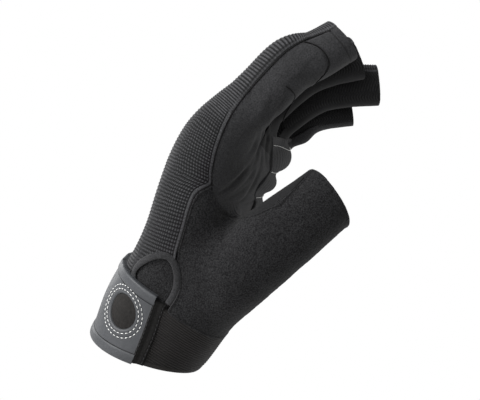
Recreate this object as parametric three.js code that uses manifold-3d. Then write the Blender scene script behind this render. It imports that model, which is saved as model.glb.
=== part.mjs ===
// A left-hand climbing glove with three-quarter fingers, in the bent form it has on a hand.
// Millimetres. +Z runs from the wrist to the fingers, +X out of the palm, -Y to the thumb's side.
// The origin is the middle of the wrist opening.
import * as THREE from 'three';
import { mergeVertices } from 'three/addons/utils/BufferGeometryUtils.js';
import Module from 'manifold-3d';

const wasm = await Module();
wasm.setup();

// Driving dimensions
const wall = 2.0; // cloth and suede with their lining
const gap = 0.3; // between neighbouring pieces
const far = 200; // reach of a straight cutting solid past the glove
const handReach = 56; // reach of a cutting solid that follows the hand
const fingerReach = 17; // and of one that follows a finger
const mouth = 10; // how far a hollow runs out past its opening
const clear = 1; // how far a cutting solid stands outside the shell
const thumbSideOnly = -20; // y that a cut made from the thumb's side stops at
const seamSlope = 12; // half the breadth over which a panel's edge changes side inside the hand
const handCorner = 2.4; // 2 is an ellipse, more is squarer
const fingerCorner = 2.2;
const handSides = 24;
const fingerSides = 14;
const fingerBackShare = -0.5; // where a finger's back strip ends, as a share of its depth
const fingerPalmShare = 0.55; // where its palm strip starts
const crotchHeight = 110; // where the strips between the fingers start
const webPalm = 4; // how far towards the palm those strips reach in the web
const bandShare = 0.2; // how far over the index finger its end band reaches, as a share of breadth

// Cuff, closure tab and notch
const cuffTop = 29.5;
const backTop = 31; // the back panel's lower edge, under the tab
const backStart = 11; // height that the solid for cutting the back panel starts at
const cuffSplit = 2.4; // x where the elastic starts on the thumb's side
const tabBottom = -0.4;
const tabTop = 33.5;
const bindingWidth = 5;
const tabThick = 1.9;
const bindingThick = 2.6;
const tabLift = 0.6; // clear of the cuff below it
const tabEnd = -3.4; // x of the tab's sewn edge
const anchorWidth = 5.2;
const anchorTop = 31.5;
const tabHole = { x: -17.6, z: 12.2, radius: 7.6 };
const notch = { x: -11.2, z: 33.4, radius: 8.6, rim: 2.2, rimThick: 2.2 };

// A table with named columns becomes one object for each row.
function table(columns, rows) {
  return rows.map((row) => Object.fromEntries(columns.map((name, i) => [name, row[i]])));
}

// Middle of each section, half its depth (palm to back), half its breadth, and the turn of
// its breadth about Z in degrees.
const columns = ['x', 'y', 'z', 'depth', 'breadth', 'turn'];
const handRows = table(columns, [
  [1.0, 0.0, 0.0, 26.0, 32.0, 0],
  [0.1, -3.2, 17.0, 27.7, 31.5, 2],
  [-1.2, -6.2, 35.0, 26.2, 33.5, 6],
  [-5.0, -7.4, 54.0, 22.4, 39.0, 9],
  [-9.2, -7.8, 72.0, 20.2, 43.0, 12],
  [-11.0, -8.2, 88.0, 19.6, 44.6, 15],
  [-10.6, -8.4, 101.0, 18.9, 44.6, 17],
  [-8.2, -8.4, 113.0, 16.0, 43.6, 18],
  [-6.0, -8.2, 122.0, 11.5, 41.6, 19],
]);
const fingerRows = {
  index: table(columns, [
    [-19.8, -38.2, 98.0, 12.2, 11.0, 12],
    [-15.6, -38.6, 115.0, 12.4, 11.2, 11],
    [-11.0, -38.2, 131.0, 12.6, 11.0, 10],
    [-6.4, -37.0, 147.4, 12.6, 10.8, 10],
    [1.0, -35.6, 156.6, 10.9, 10.4, 10],
    [8.0, -34.0, 168.8, 10.3, 10.0, 10],
  ]),
  middle: table(columns, [
    [-16.4, -17.2, 101.0, 13.0, 11.0, 12],
    [-12.0, -17.0, 118.0, 12.8, 10.9, 10],
    [-7.4, -16.4, 134.0, 12.4, 10.7, 8],
    [-1.0, -15.6, 149.0, 11.8, 10.4, 8],
    [8.0, -14.4, 159.4, 10.8, 10.0, 8],
    [18.2, -13.2, 168.0, 10.2, 9.6, 8],
  ]),
  ring: table(columns, [
    [-9.4, 3.0, 100.0, 12.4, 10.4, 12],
    [-4.6, 3.6, 117.0, 12.2, 10.3, 9],
    [1.2, 4.2, 133.0, 11.8, 10.2, 7],
    [9.6, 4.6, 147.4, 11.2, 10.0, 6],
    [21.0, 5.0, 156.6, 10.4, 9.6, 6],
    [34.2, 5.4, 164.6, 9.8, 9.2, 6],
  ]),
  little: table(columns, [
    [-4.6, 21.8, 97.0, 11.0, 9.4, 12],
    [-0.8, 22.4, 111.0, 10.8, 9.3, 9],
    [4.2, 22.8, 124.0, 10.6, 9.2, 7],
    [11.0, 23.0, 135.6, 9.8, 9.0, 6],
    [19.2, 23.2, 143.0, 9.0, 8.7, 6],
    [29.4, 23.4, 150.2, 8.5, 8.4, 6],
  ]),
};
const thumbRows = table(columns, [
  [6.0, -12.0, 14.0, 19.0, 17.0, 0],
  [11.6, -23.0, 36.0, 19.6, 18.0, 0],
  [19.2, -34.0, 56.0, 18.2, 17.6, 0],
  [27.6, -39.6, 78.0, 16.9, 15.8, 0],
  [33.4, -36.6, 92.0, 16.0, 15.2, 0],
  [38.0, -33.0, 103.4, 15.4, 14.8, 0],
]);

// How far the plane of each opening leans from square to its finger, in degrees.
const cuffLean = 9; // the wrist's opening, higher on the palm side
const openingLean = { index: 10, middle: 12, ring: 4, little: 4, thumb: -4 };

// Where the back panel ends on the hand's thumb side and little-finger side, measured
// towards the palm from the middle of the section at each height.
const handSeams = table(['z', 'thumbSide', 'littleSide'], [
  [20, -4.0, 0.0],
  [48, 0.2, -1.0],
  [62, 3.3, -2.0],
  [75, 5.8, -2.5],
  [90, 10.1, -3.0],
  [106, 6.6, -3.0],
  [116, 3.0, -3.0],
]);
const indexSeams = table(['z', 'seam'], [
  [98, 5.0],
  [115, 0.5],
  [131, -3.0],
  [147, -6.0],
  [158, -7.0],
  [184, -6.0],
]);

// The webs between the fingers, each from one side to the other across the hand's end.
const webs = table(['one', 'next', 'from', 'to'], [
  ['index', 'middle', -29, -14],
  ['middle', 'ring', -6, 7],
  ['ring', 'little', 14, 27],
]);

// The brushed panel on the thumb and its heel, outlined as seen from the thumb's side: its
// seam with the suede, from the back panel to the thumb's opening.
const thumbSeam = table(['x', 'z'], [
  [-18.0, 92.0],
  [-13.6, 89.0],
  [-6.4, 78.4],
  [4.7, 75.0],
  [14.3, 80.6],
  [20.2, 89.0],
  [24.4, 104.0],
  [27.0, 126.0],
]);
const thumbPanelDepth = -31; // y where that panel turns under to the thumb's inner face

// Rounded end of the suede on the index finger, and the stitched rolls across the palm.
const overlayEnd = { x: 0.4, z: 148.6, radius: 13.4 };
const palmRolls = table(['x', 'y', 'z', 'depth', 'breadth', 'height'], [
  [6.4, 3.0, 107.4, 9.6, 24.0, 8.0],
  [6.2, 3.0, 94.6, 9.4, 25.0, 7.0],
  [5.6, 3.5, 81.4, 9.0, 25.0, 8.0],
]);
const rollTurn = 16;
const patchThick = 1.5;
const patchBottom = 72;
const patchTop = 115;
const patchNear = -14; // y of the patch's edge towards the thumb
const patchFar = 27;
const patchEdge = -4; // x behind which the patch doesn't reach

// Reads a column at a height, between the rows of a table.
function atHeight(rows, z, name) {
  const after = rows.findIndex((row) => row.z >= z);
  if (after === 0) return rows[0][name];
  if (after < 0) return rows[rows.length - 1][name];
  const low = rows[after - 1];
  const high = rows[after];
  return THREE.MathUtils.mapLinear(z, low.z, high.z, low[name], high[name]);
}

// Stations along a limb: place, tangent, and the directions to the palm and across.
function stationsOf(rows, steps, lean = 0, startLean = 0) {
  const path = new THREE.CatmullRomCurve3(rows.map((row) => new THREE.Vector3(row.x, row.y, row.z)));
  const sizes = new THREE.CatmullRomCurve3(
    rows.map((row) => new THREE.Vector3(row.depth, row.breadth, row.turn)),
  );
  const stations = [];
  for (let i = 0; i <= steps; i += 1) {
    const t = i / steps;
    const size = sizes.getPoint(t);
    const turn = THREE.MathUtils.degToRad(size.z);
    const tangent = path.getTangent(t);
    const across = new THREE.Vector3(Math.sin(turn), Math.cos(turn), 0);
    across.addScaledVector(tangent, -across.dot(tangent)).normalize();
    const front = new THREE.Vector3().crossVectors(across, tangent);
    if (i === 0) front.applyAxisAngle(across, THREE.MathUtils.degToRad(-startLean));
    if (i === steps) front.applyAxisAngle(across, THREE.MathUtils.degToRad(-lean));
    stations.push({ place: path.getPoint(t), tangent, across, front, depth: size.x, breadth: size.y });
  }
  return stations;
}

// One more station past an end, so that a hollow or a cutting solid runs out of it.
function runOut(stations, reach) {
  const last = stations[stations.length - 1];
  const place = last.place.clone().addScaledVector(last.tangent, reach);
  return [...stations, { ...last, place }];
}

function runBack(stations, reach) {
  const first = stations[0];
  const place = first.place.clone().addScaledVector(first.tangent, -reach);
  return [{ ...first, place }, ...stations];
}

// A closed body through rings of points, one ring for each station, capped at both ends.
function loft(stations, ringOf) {
  const rings = stations.map((station) =>
    ringOf(station).map(([front, across]) =>
      station.place.clone()
        .addScaledVector(station.front, front)
        .addScaledVector(station.across, across)));
  const sides = rings[0].length;
  const caps = [rings[0], rings[rings.length - 1]].map((ring) =>
    ring.reduce((sum, point) => sum.add(point), new THREE.Vector3()).divideScalar(sides));
  const index = [];
  for (let i = 0; i < rings.length - 1; i += 1) {
    for (let j = 0; j < sides; j += 1) {
      const a = i * sides + j;
      const b = i * sides + ((j + 1) % sides);
      index.push(a, b, b + sides, a, b + sides, a + sides);
    }
  }
  const low = rings.length * sides;
  const top = (rings.length - 1) * sides;
  for (let j = 0; j < sides; j += 1) {
    const next = (j + 1) % sides;
    index.push(low, next, j, low + 1, top + j, top + next);
  }
  const geometry = new THREE.BufferGeometry().setFromPoints([...rings.flat(), ...caps]);
  geometry.setIndex(index);
  return solidOf(geometry);
}

// A closed geometry becomes a solid for cutting and joining.
function solidOf(geometry) {
  geometry.deleteAttribute('normal');
  geometry.deleteAttribute('uv');
  const merged = mergeVertices(geometry, 1e-4);
  return new wasm.Manifold(new wasm.Mesh({
    numProp: 3,
    vertProperties: new Float32Array(merged.attributes.position.array),
    triVerts: new Uint32Array(merged.index.array),
  }));
}

function union(solids) {
  return solids.reduce((sum, solid) => sum.add(solid));
}

// Squared ellipse round a station, with its half sizes grown or shrunk.
function ovalRing(sides, corner, grow = 0) {
  return (station) => Array.from({ length: sides }, (_, i) => {
    const angle = (i / sides) * 2 * Math.PI;
    const bend = (value) => Math.sign(value) * Math.abs(value) ** (2 / corner);
    return [
      (station.depth + grow) * bend(Math.cos(angle)),
      (station.breadth + grow) * bend(Math.sin(angle)),
    ];
  });
}

// Rectangle across a station, from one depth to another and one side to the other.
function slabRing(limits) {
  return (station) => {
    const { from, to, left, right } = limits(station);
    return [[from, left], [to, left], [to, right], [from, right]];
  };
}

// A flat outline in X and Z run along Y between two depths.
function prismAlongY(points, fromY, toY) {
  const shape = new THREE.Shape(points.map(({ x, z }) => new THREE.Vector2(x, z)));
  const geometry = new THREE.ExtrudeGeometry(shape, { depth: toY - fromY, bevelEnabled: false });
  geometry.rotateX(Math.PI / 2);
  geometry.translate(0, toY, 0);
  return solidOf(geometry);
}

function disc(x, z, radius, fromY, toY, sides = 28) {
  const points = Array.from({ length: sides }, (_, i) => {
    const angle = (i / sides) * 2 * Math.PI;
    return { x: x + radius * Math.cos(angle), z: z + radius * Math.sin(angle) };
  });
  return prismAlongY(points, fromY, toY);
}

function box(fromX, toX, fromY, toY, fromZ, toZ) {
  const geometry = new THREE.BoxGeometry(toX - fromX, toY - fromY, toZ - fromZ);
  geometry.translate((fromX + toX) / 2, (fromY + toY) / 2, (fromZ + toZ) / 2);
  return solidOf(geometry);
}

// The whole glove as one shell
const hand = stationsOf(handRows, 10, 0, cuffLean);
const fingers = Object.fromEntries(Object.entries(fingerRows)
  .map(([name, rows]) => [name, stationsOf(rows, 7, openingLean[name])]));
const thumb = stationsOf(thumbRows, 7, openingLean.thumb);

// The hollow of the hand ends a wall's thickness under the webs between the fingers.
const handEnd = hand[hand.length - 1];
const webInside = {
  ...handEnd,
  place: handEnd.place.clone().addScaledVector(handEnd.tangent, -wall),
};
const handOval = (grow) => ovalRing(handSides, handCorner, grow);
const fingerOval = (grow) => ovalRing(fingerSides, fingerCorner, grow);
const outer = union([
  loft(hand, handOval(0)),
  loft(thumb, fingerOval(0)),
  ...Object.values(fingers).map((stations) => loft(stations, fingerOval(0))),
]);
const hollow = union([
  loft(runBack([...hand.slice(0, -1), webInside], mouth), handOval(-wall)),
  loft(runOut(thumb, mouth), fingerOval(-wall)),
  ...Object.values(fingers).map((stations) => loft(runOut(stations, mouth), fingerOval(-wall))),
]);

let rest = outer.subtract(hollow);

// Takes a region out of what is left of the shell, and leaves a gap round it.
function take(region) {
  const exact = region(0);
  const piece = rest.intersect(exact);
  rest = rest.subtract(region(gap).add(exact));
  return piece;
}

// Height bands follow the wrist's own lean, so they are cut square to the hand's stations.
function handBand(fromZ, toZ, fromX, toX) {
  const lean = new THREE.Matrix4().makeRotationX(Math.atan2(handRows[0].y - handRows[1].y, handRows[1].z));
  const geometry = new THREE.BoxGeometry(toX - fromX, 2 * far, toZ - fromZ);
  geometry.translate((fromX + toX) / 2, 0, (fromZ + toZ) / 2);
  geometry.applyMatrix4(lean);
  return solidOf(geometry);
}

const cuffElastic = take((grow) => handBand(-far, cuffTop + grow, cuffSplit - grow, far));
const cuffBase = take((grow) => handBand(-far, backTop + grow, -far, cuffSplit + grow));

const notchGusset = take((grow) => disc(notch.x, notch.z, notch.radius + grow, -far, thumbSideOnly));

// Backs of the hand and the fingers, each up to its seams
const handBackStations = (grow) => hand
  .filter((station) => station.place.z > backStart)
  .map((station) => ({
    ...station,
    thumbSide: atHeight(handSeams, station.place.z, 'thumbSide') + grow,
    littleSide: atHeight(handSeams, station.place.z, 'littleSide') + grow,
  }));
const handBackRing = ({ thumbSide, littleSide }) => [
  [-handReach, -handReach], [thumbSide, -handReach], [thumbSide, -seamSlope],
  [littleSide, seamSlope], [littleSide, handReach], [-handReach, handReach],
];
function fingerBack(name, grow) {
  const limits = (station) => {
    const seam = name === 'index'
      ? atHeight(indexSeams, station.place.z, 'seam')
      : fingerBackShare * station.depth;
    const side = station.breadth + clear;
    return { from: -fingerReach, to: seam + grow, left: -side, right: side };
  };
  const strip = loft(runOut(fingers[name], mouth), slabRing(limits));
  return strip.intersect(loft(runOut(fingers[name], mouth), fingerOval(clear)));
}
const backPanel = take((grow) => union([
  loft(handBackStations(grow), handBackRing),
  ...Object.keys(fingers).map((name) => fingerBack(name, grow)),
]));

// One side of a finger, for the strips between two fingers
function fingerSide(name, near, grow) {
  const limits = (station) => ({
    from: -fingerReach,
    to: fingerPalmShare * station.depth + grow,
    left: near ? -station.breadth - clear : -grow,
    right: near ? grow : station.breadth + clear,
  });
  const above = fingers[name].filter((station) => station.place.z > crotchHeight);
  const strip = loft(runOut(above, mouth), slabRing(limits));
  return strip.intersect(loft(runOut(fingers[name], mouth), fingerOval(clear)));
}
// The far side of one finger, the near side of the next, and the web between them across the
// hand's end from one side to the other
function fourchette(one, next, from, to) {
  const web = (grow) => loft(hand.slice(-2), slabRing(() => ({
    from: -handReach, to: webPalm + grow, left: from - grow, right: to + grow,
  })));
  return take((grow) => union([
    web(grow), fingerSide(one, false, grow), fingerSide(next, true, grow),
  ]));
}
const fourchettes = webs.map(({ one, next, from, to }) => fourchette(one, next, from, to));

// The band at the index finger's end starts at the rounded end of the suede.
const indexTip = (grow) => loft(
  runOut(fingers.index.filter((station) => station.place.z > overlayEnd.z), mouth),
  slabRing((station) => ({
    from: -fingerReach,
    to: fingerReach,
    left: -fingerReach,
    right: station.breadth * bandShare + grow,
  })),
);
const indexBand = take((grow) => indexTip(grow)
  .subtract(disc(overlayEnd.x, overlayEnd.z, overlayEnd.radius - grow, -far, far))
  .intersect(loft(runOut(fingers.index, mouth), fingerOval(clear))));

const thumbOutline = (grow) => [
  ...thumbSeam.map(({ x, z }) => ({ x, z: z + grow })),
  { x: far, z: thumbSeam[thumbSeam.length - 1].z },
  { x: far, z: 0 },
  { x: thumbSeam[0].x, z: 0 },
];
const thumbPanel = take((grow) => prismAlongY(thumbOutline(grow), -far, thumbPanelDepth + grow));
const palmPanel = rest;

// Pieces that lie on the shell: a layer over the hand between two heights above it
const handLayer = (from, thick) => loft(runBack(hand, mouth), handOval(from + thick))
  .subtract(loft(runBack(hand, mouth + clear), handOval(from)));

const rim = handLayer(gap, notch.rimThick)
  .intersect(disc(notch.x, notch.z, notch.radius + notch.rim, -far, thumbSideOnly))
  .subtract(disc(notch.x, notch.z, notch.radius - gap, -far, 0));

// The tab runs from its sewn edge on the thumb's side over the back of the wrist.
const wristBand = (fromZ, toZ) => handBand(fromZ, toZ, -far, tabEnd);
const holePlug = disc(tabHole.x, tabHole.z, tabHole.radius, -far, thumbSideOnly, 32);
const closureTab = handLayer(tabLift, tabThick)
  .intersect(wristBand(tabBottom + bindingWidth + gap, tabTop - bindingWidth - gap))
  .subtract(holePlug);
const tabTopBinding = handLayer(tabLift, bindingThick)
  .intersect(wristBand(tabTop - bindingWidth, tabTop));
const tabBottomBinding = handLayer(tabLift, bindingThick)
  .intersect(wristBand(tabBottom, tabBottom + bindingWidth));
const tabAnchor = handLayer(gap, tabThick)
  .intersect(handBand(tabBottom, anchorTop, tabEnd + gap, tabEnd + gap + anchorWidth))
  .intersect(box(-far, far, -far, thumbSideOnly, -far, far));
const notchRim = rim.subtract(wristBand(-far, tabTop + gap));

// Padded patch on the palm: a thin layer with stitched rolls across it
const patchLayer = handLayer(0, patchThick)
  .intersect(box(patchEdge, far, -far, far, patchBottom, patchTop))
  .intersect(box(-far, far, patchNear, patchFar, -far, far));
const palmPatch = union([patchLayer, ...palmRolls.map((row) => {
  const geometry = new THREE.SphereGeometry(1, 20, 12);
  geometry.scale(row.depth, row.breadth, row.height);
  geometry.rotateZ(-THREE.MathUtils.degToRad(rollTurn));
  geometry.translate(row.x, row.y, row.z);
  return solidOf(geometry);
})]).subtract(loft(hand, handOval(gap)))
  .subtract(union([thumb, ...Object.values(fingers)].map((stations) => loft(stations, fingerOval(gap)))));

const looks = {
  knit: { color: 0x2b2b2d, roughness: 0.75 },
  suede: { color: 0x333336, roughness: 0.9 },
  fleece: { color: 0x252526, roughness: 1.0 },
  ribbed: { color: 0x161617, roughness: 0.95 },
  elastic: { color: 0x1d1b1a, roughness: 0.9 },
  leather: { color: 0x5c6168, roughness: 0.55 },
};

// The largest closed body of a solid, without the slivers that the cuts leave.
function mainBody(solid) {
  const bodies = solid.decompose();
  return bodies.reduce((best, body) => (body.volume() > best.volume() ? body : best));
}

const glove = new THREE.Group();
function addPiece(name, solid, look) {
  const mesh = mainBody(solid).getMesh();
  const geometry = new THREE.BufferGeometry();
  geometry.setAttribute('position', new THREE.BufferAttribute(new Float32Array(mesh.vertProperties), 3));
  geometry.setIndex(new THREE.BufferAttribute(new Uint32Array(mesh.triVerts), 1));
  geometry.computeVertexNormals();
  const piece = new THREE.Mesh(geometry, new THREE.MeshStandardMaterial({ ...looks[look], metalness: 0 }));
  piece.name = name;
  glove.add(piece);
}

addPiece('back_panel', backPanel, 'knit');
addPiece('palm_panel', palmPanel, 'suede');
addPiece('thumb_panel', thumbPanel, 'fleece');
addPiece('index_band', indexBand, 'suede');
webs.forEach(({ one, next }, i) => addPiece(`fourchette_${one}_${next}`, fourchettes[i], 'ribbed'));
addPiece('palm_patch', palmPatch, 'suede');
addPiece('cuff_elastic', cuffElastic, 'elastic');
addPiece('cuff_base', cuffBase, 'ribbed');
addPiece('notch_gusset', notchGusset, 'ribbed');
addPiece('notch_rim', notchRim, 'suede');
addPiece('closure_tab', closureTab, 'leather');
addPiece('tab_top_binding', tabTopBinding, 'leather');
addPiece('tab_bottom_binding', tabBottomBinding, 'leather');
addPiece('tab_anchor', tabAnchor, 'elastic');

export default glove;
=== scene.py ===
# A left-hand climbing glove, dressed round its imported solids.
# Shapes are worked out in millimetres in the solids' frame and go into the meshes in metres.
import math

import bpy
import numpy as np
from mathutils import Matrix


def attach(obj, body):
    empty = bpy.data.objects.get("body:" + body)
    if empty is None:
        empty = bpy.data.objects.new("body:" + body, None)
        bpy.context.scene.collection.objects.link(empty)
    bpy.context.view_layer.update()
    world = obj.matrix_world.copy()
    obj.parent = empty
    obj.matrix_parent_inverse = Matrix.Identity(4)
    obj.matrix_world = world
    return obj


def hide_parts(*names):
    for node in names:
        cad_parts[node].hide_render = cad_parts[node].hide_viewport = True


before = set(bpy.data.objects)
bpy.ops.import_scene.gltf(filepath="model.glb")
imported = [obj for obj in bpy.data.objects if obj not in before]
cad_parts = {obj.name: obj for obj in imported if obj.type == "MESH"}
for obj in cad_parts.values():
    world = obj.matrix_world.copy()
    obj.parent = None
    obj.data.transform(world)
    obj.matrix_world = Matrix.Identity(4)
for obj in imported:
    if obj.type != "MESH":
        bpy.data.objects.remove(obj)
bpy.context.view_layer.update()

mm = 0.001


# Camera, lights and the pale room
print("stage: camera and lights")
cameraSet = {
    "place": (3.9, -557.0, 82.6),
    "roll": 30.0,  # degrees, so that the glove leans as it does in the photo
    "lens": 85.94, "sensor": 36.0, "nearest": 0.01,
    "middle": (240.0, 200.0),  # of the picture, in its pixels
}
lightSet = {
    # name: place as right, up and towards the camera in metres, size, watts
    "key": ((-0.75, 0.75, 0.45), 0.6, 26.0),
    "front": ((-0.35, 0.35, 1.1), 0.9, 13.0),
    "fill": ((0.9, -0.15, -0.5), 0.9, 6.0),
    "behind": ((-0.6, 0.4, -0.7), 0.6, 5.0),
}
roomSet = {"aim": (0.004, -0.005, 0.085), "light": 0.42, "floor": -330.0, "half": 900.0}

rollAngle = math.radians(cameraSet["roll"])
cameraRight = np.array([math.cos(rollAngle), 0.0, math.sin(rollAngle)])
cameraUp = np.array([-math.sin(rollAngle), 0.0, math.cos(rollAngle)])
cameraForward = np.array([0.0, 1.0, 0.0])
cameraPlace = np.array(cameraSet["place"])
focalPixels = cameraSet["lens"] / cameraSet["sensor"] * 2 * cameraSet["middle"][0]


def unit(vectors):
    # Each vector divided by its length
    return vectors / np.maximum(np.linalg.norm(vectors, axis=-1, keepdims=True), 1e-9)


def standAt(thing, axes, place):
    # The matrix has the thing's own three axes and its place as its columns.
    rows = [[float(column[i]) for column in (*axes, place)] for i in range(3)]
    thing.matrix_world = Matrix(rows + [(0.0, 0.0, 0.0, 1.0)])
    bpy.context.scene.collection.objects.link(thing)


cameraData = bpy.data.cameras.new("camera")
cameraData.lens = cameraSet["lens"]
cameraData.sensor_width = cameraSet["sensor"]
cameraData.sensor_fit = "HORIZONTAL"
cameraData.clip_start = cameraSet["nearest"]
camera = bpy.data.objects.new("camera", cameraData)
standAt(camera, (cameraRight, cameraUp, -cameraForward), cameraPlace * mm)
bpy.context.scene.camera = camera

for name, (offset, size, power) in lightSet.items():
    lightData = bpy.data.lights.new(name, "AREA")
    lightData.size = size
    lightData.energy = power
    away = cameraRight * offset[0] + cameraUp * offset[1] - cameraForward * offset[2]
    side, back = unit(np.cross([0.0, 0.0, 1.0], away)), unit(away)
    standAt(bpy.data.objects.new(name, lightData), (side, np.cross(back, side), back),
            np.array(roomSet["aim"]) + away)

world = bpy.data.worlds.new("pale")
world.use_nodes = True
worldNodes, worldLinks = world.node_tree.nodes, world.node_tree.links
sky = worldNodes["Background"]
sky.inputs["Color"].default_value = (1.0, 1.0, 1.0, 1.0)
looked = worldNodes.new("ShaderNodeLightPath")
dimmed = worldNodes.new("ShaderNodeMapRange")  # white to the camera, dimmer as a light
dimmed.inputs["To Min"].default_value = roomSet["light"]
worldLinks.new(looked.outputs["Is Camera Ray"], dimmed.inputs["Value"])
worldLinks.new(dimmed.outputs["Result"], sky.inputs["Strength"])
bpy.context.scene.world = world
bpy.context.scene.view_settings.view_transform = "Standard"


# Profiles, splines and lines
def smoothStep(value, low, high):
    # 0 below low, 1 above high, and the cubic 3s^2 - 2s^3 between
    s = np.clip((value - low) / (high - low), 0, 1)
    return s * s * (3 - 2 * s)


def bell(offset, width):
    # exp(-(offset / width)^2)
    return np.exp(-(offset / width)**2)


def dome(share):
    # Height of a half circle at a share of its radius
    return np.sqrt(np.clip(1 - share**2, 0, 1))


def ribWave(turns, power=1.0):
    # Raised cosine to a power: 1 at whole turns and 0 halfway between them
    return (0.5 + 0.5 * np.cos(2 * np.pi * turns))**power


def wrapped(theta, limit=np.pi / 2):
    # An angle past the limit comes round from below.
    return np.where(theta > limit, theta - 2 * np.pi, theta)


def splineWeights(count, places):
    # Catmull-Rom: a sample is the cubic blend of the four rows round it, and the row before the
    # first is twice the first less the second.
    places = np.asarray(places, float)
    low = np.clip(np.floor(places).astype(int), 0, count - 2)
    f = places - low
    blend = np.stack([-f + 2 * f**2 - f**3, 2 - 5 * f**2 + 3 * f**3,
                      f + 4 * f**2 - 3 * f**3, f**3 - f**2], 1) / 2
    full = np.zeros((len(places), count + 2))
    line = np.arange(len(places))
    for k in range(4):
        full[line, low + k] += blend[:, k]
    inner = full[:, 1:-1].copy()
    inner[:, 0] += 2 * full[:, 0]
    inner[:, 1] -= full[:, 0]
    inner[:, -1] += 2 * full[:, -1]
    inner[:, -2] -= full[:, -1]
    return inner


def smoothRows(rows, count):
    # The rows of a table resampled evenly along their spline
    rows = np.asarray(rows, float)
    return splineWeights(len(rows), np.linspace(0, len(rows) - 1, count)) @ rows


def runLength(line):
    # Length along a line up to each of its points
    return np.concatenate([[0.0], np.cumsum(np.linalg.norm(np.diff(line, axis=0), axis=1))])


def readAt(line, length, wanted):
    # Each column of a line at the wanted lengths
    return np.stack([np.interp(wanted, length, column) for column in line.T], 1)


def evenly(line, count, scale=(1.0, 1.0, 1.0)):
    # A line resampled at equal lengths, measured with its columns scaled to millimetres
    length = runLength(line[:, :len(scale)] * np.array(scale))
    return readAt(line, length, np.linspace(0, length[-1], count))


def coons(bottom, top, left, right):
    # Ruled surface each way, less the flat blend of the four corners
    v = np.linspace(0, 1, len(left))[:, None, None]
    u = np.linspace(0, 1, len(bottom))[None, :, None]
    ruledV = (1 - v) * bottom[None] + v * top[None]
    ruledU = (1 - u) * left[:, None] + u * right[:, None]
    corners = ((1 - u) * (1 - v) * bottom[0] + u * (1 - v) * bottom[-1]
               + (1 - u) * v * top[0] + u * v * top[-1])
    return ruledV + ruledU - corners


def hashNoise(points, scale, seed=0.0):
    # Value noise: random numbers on a lattice of the given size, blended by the cubic step
    q = points / scale + seed
    low = np.floor(q)
    f = q - low
    f = f * f * (3 - 2 * f)
    total = 0.0
    for corner in np.ndindex(2, 2, 2):
        value = np.sin((low + corner) @ np.array([127.1, 311.7, 74.7]) + seed) * 43758.5453
        weight = np.prod([f[..., i] if corner[i] else 1 - f[..., i] for i in range(3)], axis=0)
        total = total + weight * (value - np.floor(value))
    return total


# Limbs: the wrist with the hand, the thumb and each finger
print("stage: form")
sectionTable = {
    # Middle x, y, z, half depth, half breadth, turn of the breadth in degrees
    "hand": [
        (1.0, 0.0, 0.0, 26.0, 32.0, 0), (0.1, -3.2, 17.0, 27.7, 31.5, 2),
        (-1.2, -6.2, 35.0, 26.2, 33.5, 6), (-5.0, -7.4, 54.0, 22.4, 39.0, 9),
        (-9.2, -7.8, 72.0, 20.2, 43.0, 12), (-11.0, -8.2, 88.0, 19.6, 44.6, 15),
        (-10.6, -8.4, 101.0, 18.9, 44.6, 17), (-8.2, -8.4, 113.0, 16.0, 43.6, 18),
        (-6.0, -8.2, 122.0, 11.5, 41.6, 19),
    ],
    "thumb": [
        (6.0, -12.0, 14.0, 19.0, 17.0, 0), (11.6, -23.0, 36.0, 19.6, 18.0, 0),
        (19.2, -34.0, 56.0, 18.2, 17.6, 0), (27.6, -39.6, 78.0, 16.9, 15.8, 0),
        (33.4, -36.6, 92.0, 16.0, 15.2, 0), (38.0, -33.0, 103.4, 15.4, 14.8, 0),
    ],
    "index": [
        (-19.8, -38.2, 98.0, 12.2, 11.0, 12), (-15.6, -38.6, 115.0, 12.4, 11.2, 11),
        (-11.0, -38.2, 131.0, 12.6, 11.0, 10), (-6.4, -37.0, 147.4, 12.6, 10.8, 10),
        (1.0, -35.6, 156.6, 10.9, 10.4, 10), (8.0, -34.0, 168.8, 10.3, 10.0, 10),
    ],
    "middle": [
        (-16.4, -17.2, 101.0, 13.0, 11.0, 12), (-12.0, -17.0, 118.0, 12.8, 10.9, 10),
        (-7.4, -16.4, 134.0, 12.4, 10.7, 8), (-1.0, -15.6, 149.0, 11.8, 10.4, 8),
        (8.0, -14.4, 159.4, 10.8, 10.0, 8), (18.2, -13.2, 168.0, 10.2, 9.6, 8),
    ],
    "ring": [
        (-9.4, 3.0, 100.0, 12.4, 10.4, 12), (-4.6, 3.6, 117.0, 12.2, 10.3, 9),
        (1.2, 4.2, 133.0, 11.8, 10.2, 7), (9.6, 4.6, 147.4, 11.2, 10.0, 6),
        (21.0, 5.0, 156.6, 10.4, 9.6, 6), (34.2, 5.4, 164.6, 9.8, 9.2, 6),
    ],
    "little": [
        (-4.6, 21.8, 97.0, 11.0, 9.4, 12), (-0.8, 22.4, 111.0, 10.8, 9.3, 9),
        (4.2, 22.8, 124.0, 10.6, 9.2, 7), (11.0, 23.0, 135.6, 9.8, 9.0, 6),
        (19.2, 23.2, 143.0, 9.0, 8.7, 6), (29.4, 23.4, 150.2, 8.5, 8.4, 6),
    ],
}
leanTable = {"hand": 9.0, "index": 10.0, "middle": 12.0, "ring": 4.0, "little": 4.0, "thumb": -4.0}
blendWidth = {"thumb": 10.0, "index": 3.5, "middle": 3.5, "ring": 3.5, "little": 3.5}
formSet = {"stations": 41, "handCorner": 2.4, "fingerCorner": 2.2, "fade": 6.0,
           "wristLean": (3.2, 17.0)}
fingerNames = ("index", "middle", "ring", "little")
allLimbs = ("hand", "thumb") + fingerNames
lastT = formSet["stations"] - 1


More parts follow.
